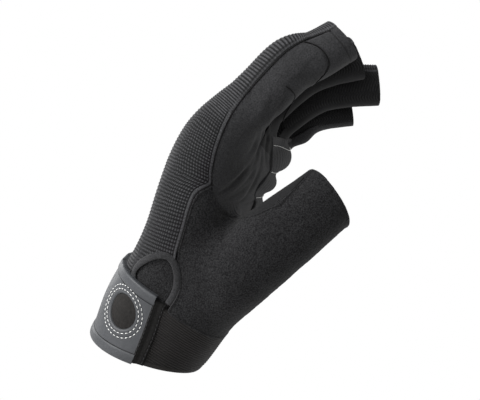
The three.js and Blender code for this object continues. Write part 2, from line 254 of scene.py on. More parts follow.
def makeLimb(name):
    # Stations along the spline of the sections. Across is the breadth's direction made square to
    # the tangent, and front is across times tangent. The hand opens at its start, the rest at
    # their ends.
    dense = smoothRows(sectionTable[name], formSet["stations"])
    place = dense[:, :3]
    tangent = unit(np.gradient(place, axis=0))
    turn = np.radians(dense[:, 5])
    across = np.stack([np.sin(turn), np.cos(turn), np.zeros(len(turn))], 1)
    across = unit(across - (across * tangent).sum(1, keepdims=True) * tangent)
    isHand = name == "hand"
    return {
        "place": place, "tangent": tangent, "across": across, "front": np.cross(across, tangent),
        "size": dense[:, 3:5], "corner": formSet["handCorner" if isHand else "fingerCorner"],
        "openStart": isHand, "length": runLength(place),
        "slope": math.tan(math.radians(leanTable[name])),
    }


def frameAt(limb, t):
    # Linear blend of the stations on both sides of t, with the place run on past the ends
    low = np.clip(np.floor(t).astype(int), 0, lastT - 1)
    f = (t - low)[..., None]
    held = np.clip(f, 0, 1)
    found = {"place": limb["place"][low] * (1 - f) + limb["place"][low + 1] * f}
    for name in ("tangent", "across", "front", "size"):
        found[name] = limb[name][low] * (1 - held) + limb[name][low + 1] * held
    return found


def leanAt(limb, t):
    # How far along the limb a ring's point lies for each millimetre towards the palm
    fromMouth = t if limb["openStart"] else lastT - t
    return limb["slope"] * np.clip(1 - fromMouth / formSet["fade"], 0, 1)


def limbPoint(limb, t, theta, grow=0.0):
    # Squared ellipse: the direction theta is scaled so that |cos|^c + |sin|^c is 1, then by the
    # half depth and half breadth. Theta 0 is the palm and 90 degrees the little finger's side.
    t, theta = np.broadcast_arrays(np.asarray(t, float), np.asarray(theta, float))
    here = frameAt(limb, t)
    c = limb["corner"]
    cosine, sine = np.cos(theta), np.sin(theta)
    rho = (np.abs(cosine)**c + np.abs(sine)**c)**(1 / c)
    front = ((here["size"][..., 0] + grow) * cosine / rho)[..., None]
    across = ((here["size"][..., 1] + grow) * sine / rho)[..., None]
    along = leanAt(limb, t)[..., None] * front
    return here["place"] + front * here["front"] + across * here["across"] + along * here["tangent"]


def limbCoords(limb, points):
    # The nearest place on the limb's path, then the angle and the squared ellipse's radius there.
    # Distance is (radius - 1) times the surface's own distance from the path.
    path = limb["place"]
    step = path[1:] - path[:-1]
    away = points[:, None, :] - path[None, :-1, :]
    share = (away * step).sum(-1) / (step * step).sum(-1)
    gap = ((away - np.clip(share, 0, 1)[..., None] * step)**2).sum(-1)
    nearest = gap.argmin(1)
    free = nearest + share[np.arange(len(points)), nearest]
    t = np.minimum(np.maximum(free, nearest), nearest + 1.0)
    if limb["openStart"]:
        t = np.where((nearest == 0) & (free < 0), free, t)
    else:
        t = np.where((nearest == lastT - 1) & (free > lastT), free, t)
    here = frameAt(limb, t)
    q = points - here["place"]
    along, front, across = [(q * here[axis]).sum(-1) for axis in ("tangent", "front", "across")]
    c = limb["corner"]
    a, b = front / here["size"][:, 0], across / here["size"][:, 1]
    rho = (np.abs(a)**c + np.abs(b)**c)**(1 / c)
    reach = np.hypot(front, across) / np.maximum(rho, 1e-6)
    distance = (rho - 1) * reach
    capped = (t >= lastT) & (along > 0) if limb["openStart"] else (t <= 0) & (along < 0)
    over = np.abs(along)
    ended = np.where(distance > 0, np.hypot(distance, over), np.maximum(distance, over))
    stepLength = np.linalg.norm(step, axis=1).mean()
    ring = t - leanAt(limb, t) * front / stepLength
    ring = t - leanAt(limb, ring) * front / stepLength
    return ring, np.arctan2(b, a), np.where(capped, ended, distance)


limbs = {name: makeLimb(name) for name in allLimbs}
hand, thumb, indexLimb = limbs["hand"], limbs["thumb"], limbs["index"]
handStep = hand["length"][-1] / lastT
stationLength = 3.1  # about the length of the hand's stations, for steps towards a height
arcScale = (stationLength, 32.0)  # millimetres for a station and for a radian
wristLean = math.atan2(*formSet["wristLean"])
leanAxis = np.array([0.0, -math.sin(wristLean), math.cos(wristLean)])


def smoothLower(one, other, width):
    # The lower of two distances, rounded where they differ by less than the width
    near = np.clip(width - np.abs(one - other), 0, None) / width
    return np.minimum(one, other) - near**2 * width / 4


def formDistance(points, names):
    # Distance to the joined limbs
    found = limbCoords(limbs[names[0]], points)[2]
    for name in names[1:]:
        found = smoothLower(found, limbCoords(limbs[name], points)[2], blendWidth[name])
    return found


def slopeOf(distance, points, step=0.15):
    # A distance and its slope, by a small step along each axis
    here = distance(points)
    return here, np.stack([(distance(points + step * axis) - here) / step for axis in np.eye(3)], -1)


def seat(points, names, steps=6):
    # Newton's steps down the distance's slope put the points on the form.
    flat = points.reshape(-1, 3)
    distance = lambda spots: formDistance(spots, names)
    for _ in range(steps):
        here, slope = slopeOf(distance, flat)
        move = -slope * (here / np.maximum((slope**2).sum(-1), 0.2))[:, None]
        far = np.linalg.norm(move, axis=-1, keepdims=True)
        flat = flat + move * np.minimum(1, 4 / np.maximum(far, 1e-9))
    normal = unit(slopeOf(distance, flat)[1])
    return flat.reshape(points.shape), normal.reshape(points.shape)


def traced(starts, way, distance, reach=0.0, steps=60, furthest=np.inf):
    # Sphere tracing: each step goes on by 0.6 of the distance to the form.
    reach = np.full(len(way), reach)
    for _ in range(steps):
        reach = reach + 0.6 * distance(starts + way * reach[:, None])
    return starts + way * np.clip(reach, 0, furthest)[:, None]


def sighted(pixels, count, distance):
    # Points of the photo, as right and down in its picture, sent along their rays to the near
    # side of a form whose distance is a function
    spots = smoothRows(pixels, count)
    aside = (spots[:, :1] - cameraSet["middle"][0]) * cameraRight
    above = (cameraSet["middle"][1] - spots[:, 1:2]) * cameraUp
    return traced(cameraPlace, cameraForward + (aside + above) / focalPixels, distance, 470.0)


def seen(pixels, names=allLimbs, count=60, over=0.0):
    # The same on the joined limbs, or at a height over them
    return sighted(pixels, count, lambda points: formDistance(points, names) - over)


def thetaOf(limb, frontShare, side):
    # The angle on a section where the surface is at a share of the half depth, on one side
    share = np.clip(frontShare, -1, 1)
    across = (1 - np.abs(share)**limb["corner"])**(1 / limb["corner"])
    return np.arctan2(side * across, share)


def heightT(limb, z):
    # The station whose middle is at a height
    return np.interp(z, limb["place"][:, 2], np.arange(lastT + 1))


def handAt(theta, level):
    # The hand's station at an angle and a height square to the wrist, by eight secant steps
    theta, level = np.broadcast_arrays(np.asarray(theta, float), np.asarray(level, float))
    t = level / stationLength
    for _ in range(8):
        t = t + (level - limbPoint(hand, t, theta) @ leanAxis) / stationLength
    return t


def seamOn(limb, pixels):
    # A seam's stations and angles on a limb
    t, theta, _ = limbCoords(limb, seen(pixels))
    return t, wrapped(theta)


def seamTheta(t, seam):
    # A seam's angle at a station, straight between its points
    order = np.argsort(seam[0])
    return np.interp(t, seam[0][order], seam[1][order])


# Meshes
def putMesh(name, points, quads, triangles, material, uv=None, grooveShade=None, sharp=55.0):
    # Corner lists go in as one flat run: four for each quad, then three for each triangle.
    quads = np.asarray(quads, np.int32).reshape(-1, 4)
    triangles = np.asarray(triangles, np.int32).reshape(-1, 3)
    corners = np.concatenate([quads.ravel(), triangles.ravel()])
    sizes = np.concatenate([np.full(len(quads), 4), np.full(len(triangles), 3)])
    mesh = bpy.data.meshes.new(name)
    mesh.vertices.add(len(points))
    mesh.vertices.foreach_set("co", (np.asarray(points) * mm).ravel())
    mesh.loops.add(len(corners))
    mesh.loops.foreach_set("vertex_index", corners)
    mesh.polygons.add(len(sizes))
    mesh.polygons.foreach_set("loop_start", np.concatenate([[0], np.cumsum(sizes)[:-1]]))
    mesh.polygons.foreach_set("loop_total", sizes)
    mesh.polygons.foreach_set("use_smooth", np.full(len(sizes), grooveShade is not None))
    mesh.update(calc_edges=True)
    # The grooveShade attribute is painted shade in the valleys, seams and creases; each material
    # darkens to its valley colour by it.
    if grooveShade is not None:
        mesh.uv_layers.new(name="UVMap").data.foreach_set("uv", np.asarray(uv)[corners].ravel())
        attribute = mesh.attributes.new("grooveShade", "FLOAT", "POINT")
        attribute.data.foreach_set("value", np.asarray(grooveShade, np.float32))
    mesh.validate()
    if grooveShade is not None:
        mesh.set_sharp_from_angle(angle=math.radians(sharp))
    mesh.materials.append(material)
    made = bpy.data.objects.new(name, mesh)
    bpy.context.scene.collection.objects.link(made)
    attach(made, "root")
    return made


def putParts(name, parts, material, nodes=()):
    # Joins the arrays of several parts, each with its corner numbers moved on.
    starts = np.cumsum([0] + [len(part["points"]) for part in parts])
    points, uv, grooveShade = [np.concatenate([part[key] for part in parts])
                          for key in ("points", "uv", "grooveShade")]
    quads, triangles = [np.concatenate([part[key] + start for part, start in zip(parts, starts)])
                        for key in ("quads", "triangles")]
    made = putMesh(name, points, quads, triangles, material, uv, grooveShade)
    if nodes:
        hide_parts(*nodes)
    return made


def quadsOf(index):
    # Four corners for each cell of a grid of point numbers
    return np.stack([index[:-1, :-1], index[:-1, 1:], index[1:, 1:], index[1:, :-1]], -1).reshape(-1, 4)


def stitchRows(fine, coarse, cell):
    # Triangles between a fine edge and a coarse one with one point for each cell of the fine one
    j = np.arange(len(fine) - 1)
    first = np.stack([fine[j], fine[j + 1], coarse[(j + cell // 2) // cell]], 1)
    i = np.arange(len(coarse) - 1)
    second = np.stack([coarse[i], fine[i * cell + cell // 2], coarse[i + 1]], 1)
    return np.concatenate([first, second])


def shell(coarse, normal, rows, cols, height, thick, extra=None, cell=4, colPlaces=None):
    # A closed cloth wall. The outer side is the coarse net's spline surface raised along its
    # normal by height(info); the inner side is the same surface lowered by its thickness, with one
    # point for each cell of the outer one.
    rowPlaces = np.linspace(0, 1, rows * cell + 1)
    colPlaces = np.linspace(0, 1, cols * cell + 1) if colPlaces is None else colPlaces
    byRow = splineWeights(coarse.shape[0], rowPlaces * (coarse.shape[0] - 1))
    byCol = splineWeights(coarse.shape[1], colPlaces * (coarse.shape[1] - 1))
    spread = lambda grid: np.einsum("ai,ij...,bj->ab...", byRow, grid, byCol, optimize=True)
    p, out = spread(coarse), unit(spread(normal))
    r, c = p.shape[:2]
    overCols = np.linalg.norm(np.diff(p, axis=1), axis=-1)
    overRows = np.linalg.norm(np.diff(p, axis=0), axis=-1)
    left = np.concatenate([np.zeros((r, 1)), np.cumsum(overCols, 1)], 1)
    bottom = np.concatenate([np.zeros((1, c)), np.cumsum(overRows, 0)], 0)
    info = {"p": p, "row": np.broadcast_to(rowPlaces[:, None], (r, c)), "left": left, "bottom": bottom,
            "right": left[:, -1:] - left, "top": bottom[-1:] - bottom}
    info["edge"] = np.minimum(np.minimum(left, info["right"]), np.minimum(bottom, info["top"]))
    for key, grid in (extra or {}).items():
        info[key] = spread(grid)
    # Each height function gives the raised height and the painted shade for grooves, seams and creases.
    raised, grooveShade = height(info)
    outer = p + out * raised[..., None]
    inner = (p - out * thick)[::cell, ::cell]
    index = np.arange(r * c).reshape(r, c)
    inside = r * c + np.arange(inner.shape[0] * inner.shape[1]).reshape(inner.shape[:2])
    quads = np.concatenate([quadsOf(index), quadsOf(inside)[:, ::-1]])
    triangles = np.concatenate([
        stitchRows(index[0], inside[0], cell)[:, ::-1], stitchRows(index[-1], inside[-1], cell),
        stitchRows(index[:, 0], inside[:, 0], cell),
        stitchRows(index[:, -1], inside[:, -1], cell)[:, ::-1],
    ])
    i, j = r // 2, c // 2
    if np.cross(p[i, j + 1] - p[i, j], p[i + 1, j] - p[i, j]) @ out[i, j] < 0:
        quads, triangles = quads[:, ::-1], triangles[:, ::-1]
    uv = np.stack([left, bottom], -1) / 10
    return {"points": np.concatenate([outer.reshape(-1, 3), inner.reshape(-1, 3)]), "quads": quads,
            "triangles": triangles,
            "uv": np.concatenate([uv.reshape(-1, 2), uv[::cell, ::cell].reshape(-1, 2)]),
            "grooveShade": np.concatenate([grooveShade.ravel(), grooveShade[::cell, ::cell].ravel()])}


def plainPart(points, quads, triangles):
    # A thread's arrays, with no pattern and no painted groove shade
    return {"points": points, "quads": quads, "triangles": triangles,
            "uv": np.zeros((len(points), 2)), "grooveShade": np.zeros(len(points))}


def sweep(path, out, width, high, sides=8):
    # An ellipse, width across the path and high along the surface's normal, carried along the
    # path. Its ends are closed with a middle point.
    along = unit(np.gradient(path, axis=0))
    out = unit(out - (out * along).sum(-1, keepdims=True) * along)
    across = np.cross(along, out)
    angle = np.arange(sides) / sides * 2 * np.pi
    width = np.broadcast_to(width, (len(path),))[:, None]
    ring = (path[:, None] + across[:, None] * (np.cos(angle) * width / 2)[..., None]
            + out[:, None] * (np.sin(angle) * high / 2)[None, :, None])
    last = len(path) * sides
    index = np.arange(last).reshape(len(path), sides)
    after = np.roll(index, -1, 1)
    quads = np.stack([index[:-1], index[1:], after[1:], after[:-1]], -1).reshape(-1, 4)
    triangles = np.concatenate([np.stack([np.full(sides, last), index[0], after[0]], 1),
                                np.stack([np.full(sides, last + 1), after[-1], index[-1]], 1)])
    points = np.concatenate([ring.reshape(-1, 3), [ring[0].mean(0), ring[-1].mean(0)]])
    return plainPart(points, quads, triangles)


def dashes(path, out, pitch, length, thick, lift, rings=7, sides=6, fine=4000):
    # Stitches along a path: a short thread for each pitch, arched over the cloth, all as one array
    run = runLength(path)
    total = run[-1]
    count = max(2, int(total / pitch))
    places = np.linspace(0, 1, fine)
    dense = readAt(path, run / total, places)
    denseOut = unit(readAt(out, run / total, places))
    middle = (np.arange(count) + 0.5) / count
    share = np.linspace(-0.5, 0.5, rings)
    at = np.clip(((middle[:, None] + share * length / total) * (fine - 1)).astype(int), 0, fine - 1)
    arch = (1 - (2 * share)**2) * thick * 0.5 + lift
    line = dense[at] + denseOut[at] * arch[None, :, None]
    along = unit(np.gradient(line, axis=1))
    upward = unit(denseOut[at] - (denseOut[at] * along).sum(-1, keepdims=True) * along)
    across = np.cross(along, upward)
    angle = np.arange(sides) / sides * 2 * np.pi
    girth = thick / 2 * np.sqrt(np.clip(1 - (2 * share)**4, 0.05, 1))[:, None]
    ring = (line[:, :, None] + across[:, :, None] * (np.cos(angle) * girth)[None, ..., None]
            + upward[:, :, None] * (np.sin(angle) * girth)[None, ..., None])
    block = np.arange(count * rings * sides).reshape(count, rings, sides)
    after = np.roll(block, -1, 2)
    quads = np.stack([block[:, :-1], block[:, 1:], after[:, 1:], after[:, :-1]], -1).reshape(-1, 4)
    caps = []
    for end, one, two in ((block[:, 0], slice(1, -1), slice(2, None)),
                          (block[:, -1], slice(2, None), slice(1, -1))):
        first = end[:, :1].repeat(sides - 2, 1)
        caps.append(np.stack([first, end[:, one], end[:, two]], -1).reshape(-1, 3))
    return plainPart(ring.reshape(-1, 3), quads, np.concatenate(caps))


def rounded(edge, soft):
    # How far a rounded rim has dropped, from 1 at the edge to 0 a soft width inside it
    return 1 - dome(1 - np.clip(edge / soft, 0, 1))


def edged(lift, soft, drop=0.9):
    # A plain cloth's height: its lift, rounded down at all four edges over a soft width
    return lambda info: (lift - drop * rounded(info["edge"], soft), np.zeros(info["edge"].shape))


# Materials
print("stage: materials")
clothTable = {
    # name: dark and light colour, valley colour that the painted groove shade blends to, patchiness,
    # grain and its half spread, bump in metres and its scale, roughness, sheen, specular
    "knitCloth": ((0.018, 0.018, 0.019), (0.052, 0.052, 0.0548), (0.002, 0.002, 0.0022),
                  0.12, 1500, 0.2, 0.0001, 2600, 0.75, 0.0, 0.09),
    "suedeCloth": ((0.0088, 0.0088, 0.0093), (0.0245, 0.0245, 0.0257), (0.004, 0.004, 0.004),
                   0.2, 1600, 0.16, 0.00007, 1800, 0.9, 0.06, 0.07),
    # the suede at about half its brightness, as painted shade on the middle and ring strips and the
    # thumb's inner face
    "paintedShadeSuede": ((0.0046, 0.0046, 0.0049), (0.0125, 0.0125, 0.0131), (0.003, 0.003, 0.003),
                   0.2, 1600, 0.16, 0.00007, 1800, 0.9, 0.04, 0.06),
    "fleeceCloth": ((0.0022, 0.0022, 0.0024), (0.0155, 0.0155, 0.0161), (0.002, 0.002, 0.002),
                    0.14, 1700, 0.11, 0.0003, 1300, 0.95, 0.05, 0.05),
    "ribbedCloth": ((0.0065, 0.0065, 0.0068), (0.0175, 0.0175, 0.0182), (0.001, 0.001, 0.001),
                    0.1, 1500, 0.25, 0.0001, 2400, 0.8, 0.02, 0.1),
    "elasticCloth": ((0.0042, 0.0038, 0.0036), (0.0130, 0.0119, 0.0112), (0.0014, 0.0012, 0.0011),
                     0.1, 1500, 0.2, 0.0001, 2400, 0.75, 0.04, 0.12),
    "backingCloth": ((0.0060, 0.0056, 0.0053), (0.0125, 0.0116, 0.011), (0.002, 0.002, 0.002),
                     0.15, 900, 0.2, 0.00008, 1500, 0.85, 0.04, 0.08),
    "anchorCloth": ((0.0036, 0.0035, 0.0034), (0.0098, 0.0094, 0.0092), (0.001, 0.001, 0.001),
                    0.1, 1500, 0.2, 0.0001, 2400, 0.8, 0.0, 0.08),
    "leatherSkin": ((0.0245, 0.0258, 0.0283), (0.033, 0.0348, 0.0378), (0.01, 0.01, 0.011),
                    0.1, 700, 0.3, 0.00004, 2200, 0.5, 0.0, 0.22),
    "whiteThread": ((0.42, 0.42, 0.41), (0.6, 0.6, 0.58), (0.42, 0.42, 0.41),
                    0.0, 2500, 0.2, 0.00005, 4000, 0.6, 0.0, 0.3),
    "darkThread": ((0.0015, 0.0015, 0.0015), (0.004, 0.004, 0.004), (0.0015, 0.0015, 0.0015),
                   0.0, 2500, 0.2, 0.00005, 4000, 0.7, 0.0, 0.1),
    "greyThread": ((0.010, 0.010, 0.0105), (0.02, 0.02, 0.021), (0.010, 0.010, 0.0105),
                   0.0, 2500, 0.2, 0.00005, 4000, 0.7, 0.0, 0.1),
    "paleFloor": ((0.8, 0.8, 0.8), (0.82, 0.82, 0.82), (0.8, 0.8, 0.8),
                  0.0, 20, 0.3, 0.0001, 300, 0.9, 0.0, 0.1),
}


def clothMaterial(name, dark, light, valley, patch, grain, spread, bump, bumpScale, roughness,
                  sheen, specular):
    # A fine noise blends the dark and light colours, a broad one makes patches of the result, the
    # grooveShade attribute paints shade into the valleys and seams by blending to the valley colour,
    # and a third noise roughens the surface.
    material = bpy.data.materials.new(name)
    material.use_nodes = True
    nodes, links = material.node_tree.nodes, material.node_tree.links

    def fill(node, values):
        for key, value in values.items():
            if isinstance(value, bpy.types.NodeSocket):
                links.new(value, node.inputs[key])
            else:
                node.inputs[key].default_value = value

    def add(kind, values, output, **settings):
        node = nodes.new("ShaderNode" + kind)
        for key, value in settings.items():
            setattr(node, key, value)
        fill(node, values)
        return node.outputs[output]

    place = add("TexCoord", {}, "Object")
    fine = add("TexNoise", {"Scale": grain, "Detail": 3.0, "Roughness": 0.65, "Vector": place}, "Fac")
    broad = add("TexNoise", {"Scale": 55.0, "Detail": 2.0, "Vector": place}, "Fac")
    relief = add("TexNoise", {"Scale": bumpScale, "Detail": 4.0, "Vector": place}, "Fac")
    mixed = add("MapRange", {"From Min": 0.5 - spread, "From Max": 0.5 + spread, "Value": fine},
                "Result")
    colour = add("Mix", {"A": (*dark, 1.0), "B": (*light, 1.0), "Factor": mixed}, "Result",
                 data_type="RGBA")
    tone = add("MapRange", {"From Min": 0.3, "From Max": 0.7, "To Min": 1.0 - patch,
                            "To Max": 1.0 + patch, "Value": broad}, "Result")
    toned = add("VectorMath", {0: colour, "Scale": tone}, "Vector", operation="SCALE")
    grooveShade = add("Attribute", {}, "Fac", attribute_name="grooveShade")
    sunk = add("Mix", {"A": toned, "B": (*valley, 1.0), "Factor": grooveShade}, "Result", data_type="RGBA")
    raised = add("Bump", {"Strength": 1.0, "Distance": bump, "Height": relief}, "Normal")
    fill(nodes["Principled BSDF"], {
        "Roughness": roughness, "Sheen Weight": sheen, "Specular IOR Level": specular,
        "Base Color": sunk, "Normal": raised})
    return material


cloths = {name: clothMaterial(name, *row) for name, row in clothTable.items()}


# Seams, as they lie in the photo: right and down in its picture
seamPixels = {
    "knitSuede": [(212, 186), (211.5, 176), (213, 166), (217, 149), (224, 130), (232, 114), (243, 98),
                  (261, 77), (280, 57), (291, 48), (303, 41), (317, 35.5), (331, 30.5)],
    "knitFleece": [(177, 252), (182, 236), (186, 222), (190, 208), (195, 196), (201, 190), (207, 187),
                   (212, 184)],
    "fleeceSuede": [(211, 184), (213, 193), (217, 202), (225, 211), (234, 216.5), (245, 217),
                    (258.6, 214)],
    "thumbTop": [(258.6, 214), (270, 210.5), (280, 206), (289, 197), (297, 188.5), (304, 179.5),
                 (309, 172)],
    "notchOut": [(134, 268), (138, 262.5), (144, 258), (152, 254), (160, 252.5), (168, 253.5),
                 (174.5, 258.5), (178.5, 267), (180.5, 278), (179, 289), (175.5, 298), (171.5, 305)],
    "notchRim": [(133.5, 279), (134.5, 271.5), (139, 265), (145, 260.2), (152.5, 256.5), (160.5, 255),
                 (168, 256.5), (173, 261.5), (176.3, 269), (177.6, 278), (176.4, 288), (173, 297),
                 (168.5, 304)],
    "underFleece": [(203, 187), (206, 199), (211, 208), (221, 217), (230, 222)],
    "indexBase": [(286, 86.5), (291, 90), (295.2, 96), (292, 104), (286.5, 113), (283, 122),
                  (281.8, 129.6)],
    "indexArc": [(302.6, 41.5), (310.4, 43.5), (318.4, 47), (324.6, 53), (328.4, 60), (328.7, 66),
                 (325.5, 72.6), (320, 78.5), (315, 83)],
    "fleeceLeft": [(167, 311), (171, 305), (175.5, 298), (179, 289), (180.5, 278), (179, 267),
                   (177.5, 256), (179, 246), (182, 236), (186, 222), (190, 208), (195, 196),
                   (201, 190), (207, 187), (212, 184)],
    "rollEdge": [(270.5, 124), (270.5, 131), (271.4, 139), (271.6, 147), (270.8, 160), (269.5, 172),
                 (264, 181), (258, 188), (255, 194), (256, 201)],
    "thumbSlit": [(291.5, 190.5), (298, 184), (304.5, 176.8)],
    "notchSide": [(182, 266), (183.5, 279), (181, 293), (176, 303)],
    "notchTop": [(160, 252), (150, 253.5), (141.5, 258.5)],
}
farSeamTable = np.array([
    # height and x of the little finger's side seam
    (20, 0.0), (48, -1.0), (62, -2.0), (75, -2.5), (90, -3.0), (106, -3.0), (122, -3.0)])
fingerSet = {
    "webs": (-21.5, 0.5, 20.5),  # middles of the webs across the hand, in mm
    "knuckles": 111.0, "start": 112.0, "rows": 22, "turnedBy": 0.34,
    "backHalf": 60.0, "palmHalf": 44.0,  # half of the knit's and the suede's angle on a finger
}
backHalf, palmHalf = math.radians(fingerSet["backHalf"]), math.radians(fingerSet["palmHalf"])

knuckleT = float(heightT(hand, fingerSet["knuckles"]))
upperSeam = seamOn(hand, seamPixels["knitSuede"][:7])
lowerSeam = seamOn(hand, seamPixels["knitFleece"])
nearSeam = [np.concatenate(pair) for pair in zip(lowerSeam, upperSeam)]
indexSeam = seamOn(indexLimb, seamPixels["knitSuede"][5:])


def farTheta(t):
    # The little finger's side seam on the hand
    here = frameAt(hand, t)
    front = np.interp(here["place"][..., 2], farSeamTable[:, 0], farSeamTable[:, 1])
    return thetaOf(hand, front / here["size"][..., 0], 1)


def webShares(side):
    # Angles of the webs on the knuckle row, on the palm side (1) or the back (-1)
    b = np.array(fingerSet["webs"]) / frameAt(hand, np.array([knuckleT]))["size"][0, 1]
    front = side * (1 - np.abs(b)**hand["corner"])**(1 / hand["corner"])
    return np.arctan2(b, front)


def fingerStrip(name, startRow, right, left=None, under=0.0):
    # From a stretch of the knuckle row to a finger's end. The hand's surface, run on past the
    # row, turns into the finger's own over the first third, and the whole is seated on the form.
    # Without a left angle the strip begins at the index finger's seam.
    limb = limbs[name]
    start = float(heightT(limb, fingerSet["start"]))
    s = np.linspace(0, 1, fingerSet["rows"])[:, None]
    t = start + (lastT - start) * s
    u = np.linspace(0, 1, len(startRow))[None]
    left = seamTheta(t, indexSeam) - under if left is None else left
    own = limbPoint(limb, t, left * (1 - u) + right * u)
    past = limb["length"][-1] * (lastT - start) / lastT * s
    run = limbPoint(hand, np.minimum(knuckleT + past / handStep, lastT), startRow[None])
    weight = smoothStep(s, 0.0, fingerSet["turnedBy"])[..., None]
    seated, normal = seat(run * (1 - weight) + own * weight, ("hand", name))
    return seated, normal, knuckleT * handStep + past + 0 * u


# Back of the hand and the fingers, one ribbed knit
print("stage: knit")
knitSet = {
    "lift": 0.35, "thick": 1.5, "pitch": 1.32, "rib": 0.3, "knot": 1.3, "knotShare": 0.75,
    "fold": 0.14, "foldWidth": 2.0, "bottom": 31.5, "cols": 49, "rows": 30, "fineRow": 0.72,
}
notchT, notchTheta = [line[:36] for line in seamOn(hand, seamPixels["notchOut"])]  # its upper part


def knitBottom(theta):
    # Lower edge: under the tab, and round the top of the notch on the thumb's side
    order = np.argsort(notchTheta)
    arc = np.interp(theta, notchTheta[order], notchT[order], left=-1, right=-1)
    return np.maximum(handAt(theta, knitSet["bottom"]), arc)


def knitTheta(t, share):
    # The angle at a share of the way from the thumb's seam round the back to the far seam
    return seamTheta(t, nearSeam) * (1 - share) + (farTheta(t) - 2 * np.pi) * share


def knitHeight(info):
    # Ribs are the raised cosine of the way along, to a power. Near the thumb's seam a second
    # cosine of the way across breaks them into knots. The edge is a rounded fold. Shade is painted
    # into the rib valleys and along the sunk line inside each fold.
    k = knitSet
    wobble = 0.12 * (hashNoise(info["p"], 9.0, 3.1) - 0.5)
    rib = ribWave(info["path"] / k["pitch"] + wobble, 0.75)
    knots = ribWave(info["left"] / k["knot"])
    crest = np.clip(rib * (1 - info["knotted"] * k["knotShare"] * (1 - knots)), 0, 1)
    raised = k["lift"] + k["rib"] * crest
    grooveShade = np.clip(1.1 * (1 - crest)**0.9, 0, 1)
    for side, width in (("left", k["foldWidth"]), ("right", k["foldWidth"] * 0.6)):
        e = info[side]
        inFold = 1 - smoothStep(e, width * 0.8, width * 1.15)
        rising = smoothStep(e, 0, 0.4)
        fold = (k["lift"] * rising - 0.5 * (1 - rising)
                + k["fold"] * dome((e - width / 2) / (width / 2)))
        raised = raised * (1 - inFold) + (fold + 0.35 * k["rib"] * (rib - 0.5)) * inFold
        sunk = bell(e - width * 1.05, 0.25) * 0.8 + (1 - smoothStep(e, 0.0, 0.35))
        grooveShade = np.clip(grooveShade * (1 - 0.75 * inFold) + 0.1 * inFold + sunk, 0, 1)
    return raised, grooveShade


share = np.linspace(0, 1, knitSet["cols"])
lowT = np.full(knitSet["cols"], 11.0)
for _ in range(12):
    lowT = 0.5 * lowT + 0.5 * knitBottom(knitTheta(lowT, share))
v = np.linspace(0, 1, knitSet["rows"])[:, None]
handT = lowT[None] + (knuckleT - lowT[None]) * v
handTheta = knitTheta(handT, share)
handNet, handOut = seat(limbPoint(hand, handT, handTheta), allLimbs)
handPath = limbCoords(hand, handNet.reshape(-1, 3))[0].reshape(handT.shape) * handStep
knotted = (1 - smoothStep(share, 0.20, 0.36))[None] * (1 - smoothStep(v, 0.86, 1.0))
handCols = np.concatenate([np.linspace(0, 0.36, 105)[:-1], np.linspace(0.36, 1, 65)])
knitHand = shell(handNet, handOut, 112, 42, knitHeight, knitSet["thick"],
                 {"path": handPath, "knotted": knotted}, colPlaces=handCols)
putParts("back_knit_hand", [knitHand], cloths["knitCloth"], ["back_panel"])

splits = [handTheta[-1, 0], *wrapped(webShares(-1)), handTheta[-1, -1]]
knitParts = []
for i, name in enumerate(fingerNames):
    left = None if name == "index" else backHalf - np.pi
    net, out, path = fingerStrip(name, np.linspace(splits[i], splits[i + 1], 13),
                                 -backHalf - np.pi, left)
    fineRows = int((path[-1, 0] - path[0, 0]) / knitSet["fineRow"])
    knitParts.append(shell(net, out, fineRows, 7, knitHeight, knitSet["thick"],
                           {"path": path, "knotted": np.zeros(path.shape)}))
putParts("back_knit_fingers", knitParts, cloths["knitCloth"], ["back_panel"])

# Suede of the palm, the side of the hand, the fingers' palm strips and the thumb's inner face; the
# middle and ring strips and the thumb's inner face take a darker copy of the suede as painted shade
print("stage: suede")
suedeSet = {
    "lift": -0.2, "thick": 1.3, "give": 0.22, "crease": 0.52, "underLap": 0.1, "bottom": 27.0,
    "heel": 2.6, "heelAt": (16.5, 20.0, 126.0), "heelWide": 6.0, "swell": 0.9, "swellLong": 10.0,
    "cols": 61, "rows": 31, "tuck": 0.6, "baseShade": 0.4,
    "inner": (243, -24), "crotch": 20.3,  # degrees of the thumb's inner face, and its root's station
}
creaseTable = [
    # place in the photo, direction in degrees, length and width in mm, depth as a share
    (232, 186, -38, 18, 1.9, 1.0), (241, 192, -34, 17, 1.7, 0.8), (238, 178, -42, 14, 1.7, 0.7),
    (246, 183, -48, 17, 1.5, 0.9), (252, 189, -58, 15, 1.4, 0.9), (256, 178, -70, 16, 1.4, 0.8),
    (261, 168, -80, 18, 1.3, 0.9), (257, 158, -72, 14, 1.3, 0.6), (266, 152, 90, 16, 1.2, 0.8),
    (262, 141, -76, 14, 1.3, 0.8), (267, 133, 84, 12, 1.2, 0.7), (255, 144, -66, 12, 1.4, 0.5),
    (249, 168, -56, 13, 1.5, 0.6), (275, 120, -60, 13, 1.8, 0.7), (281, 104, -52, 12, 1.6, 0.6),
    (268, 110, -64, 12, 2.0, 0.5), (250, 203, -14, 13, 1.5, 0.7), (242, 201, -24, 12, 1.5, 0.6),
    (300, 76, -40, 10, 1.8, 0.4), (311, 62, -36, 9, 1.6, 0.3),
]
creaseMiddles = seen([row[:2] for row in creaseTable], allLimbs, len(creaseTable))
arcT, arcTheta, _ = limbCoords(indexLimb, seen(seamPixels["indexArc"], allLimbs, 40))
arcTheta = wrapped(arcTheta)


def halved(holds, start):
    # The station up to which a test holds on each of the inner face's lines, by thirty halvings
    low, high = np.full(len(innerAngles), start), np.full(len(innerAngles), float(lastT))
    for _ in range(30):
        middle = (low + high) / 2
        held = holds(limbPoint(thumb, middle, innerAngles))
        low, high = np.where(held, middle, low), np.where(held, high, middle)
    return low


def relaxed(params, rounds):
    # Each inner point goes to the mean of its four neighbours, so that the net doesn't fold over
    # itself round the thumb's root.
    grid = params * np.array([*arcScale, 1.0])
    for _ in range(rounds):
        grid[1:-1, 1:-1] = (grid[:-2, 1:-1] + grid[2:, 1:-1] + grid[1:-1, :-2] + grid[1:-1, 2:]) / 4
    return grid / np.array([*arcScale, 1.0])


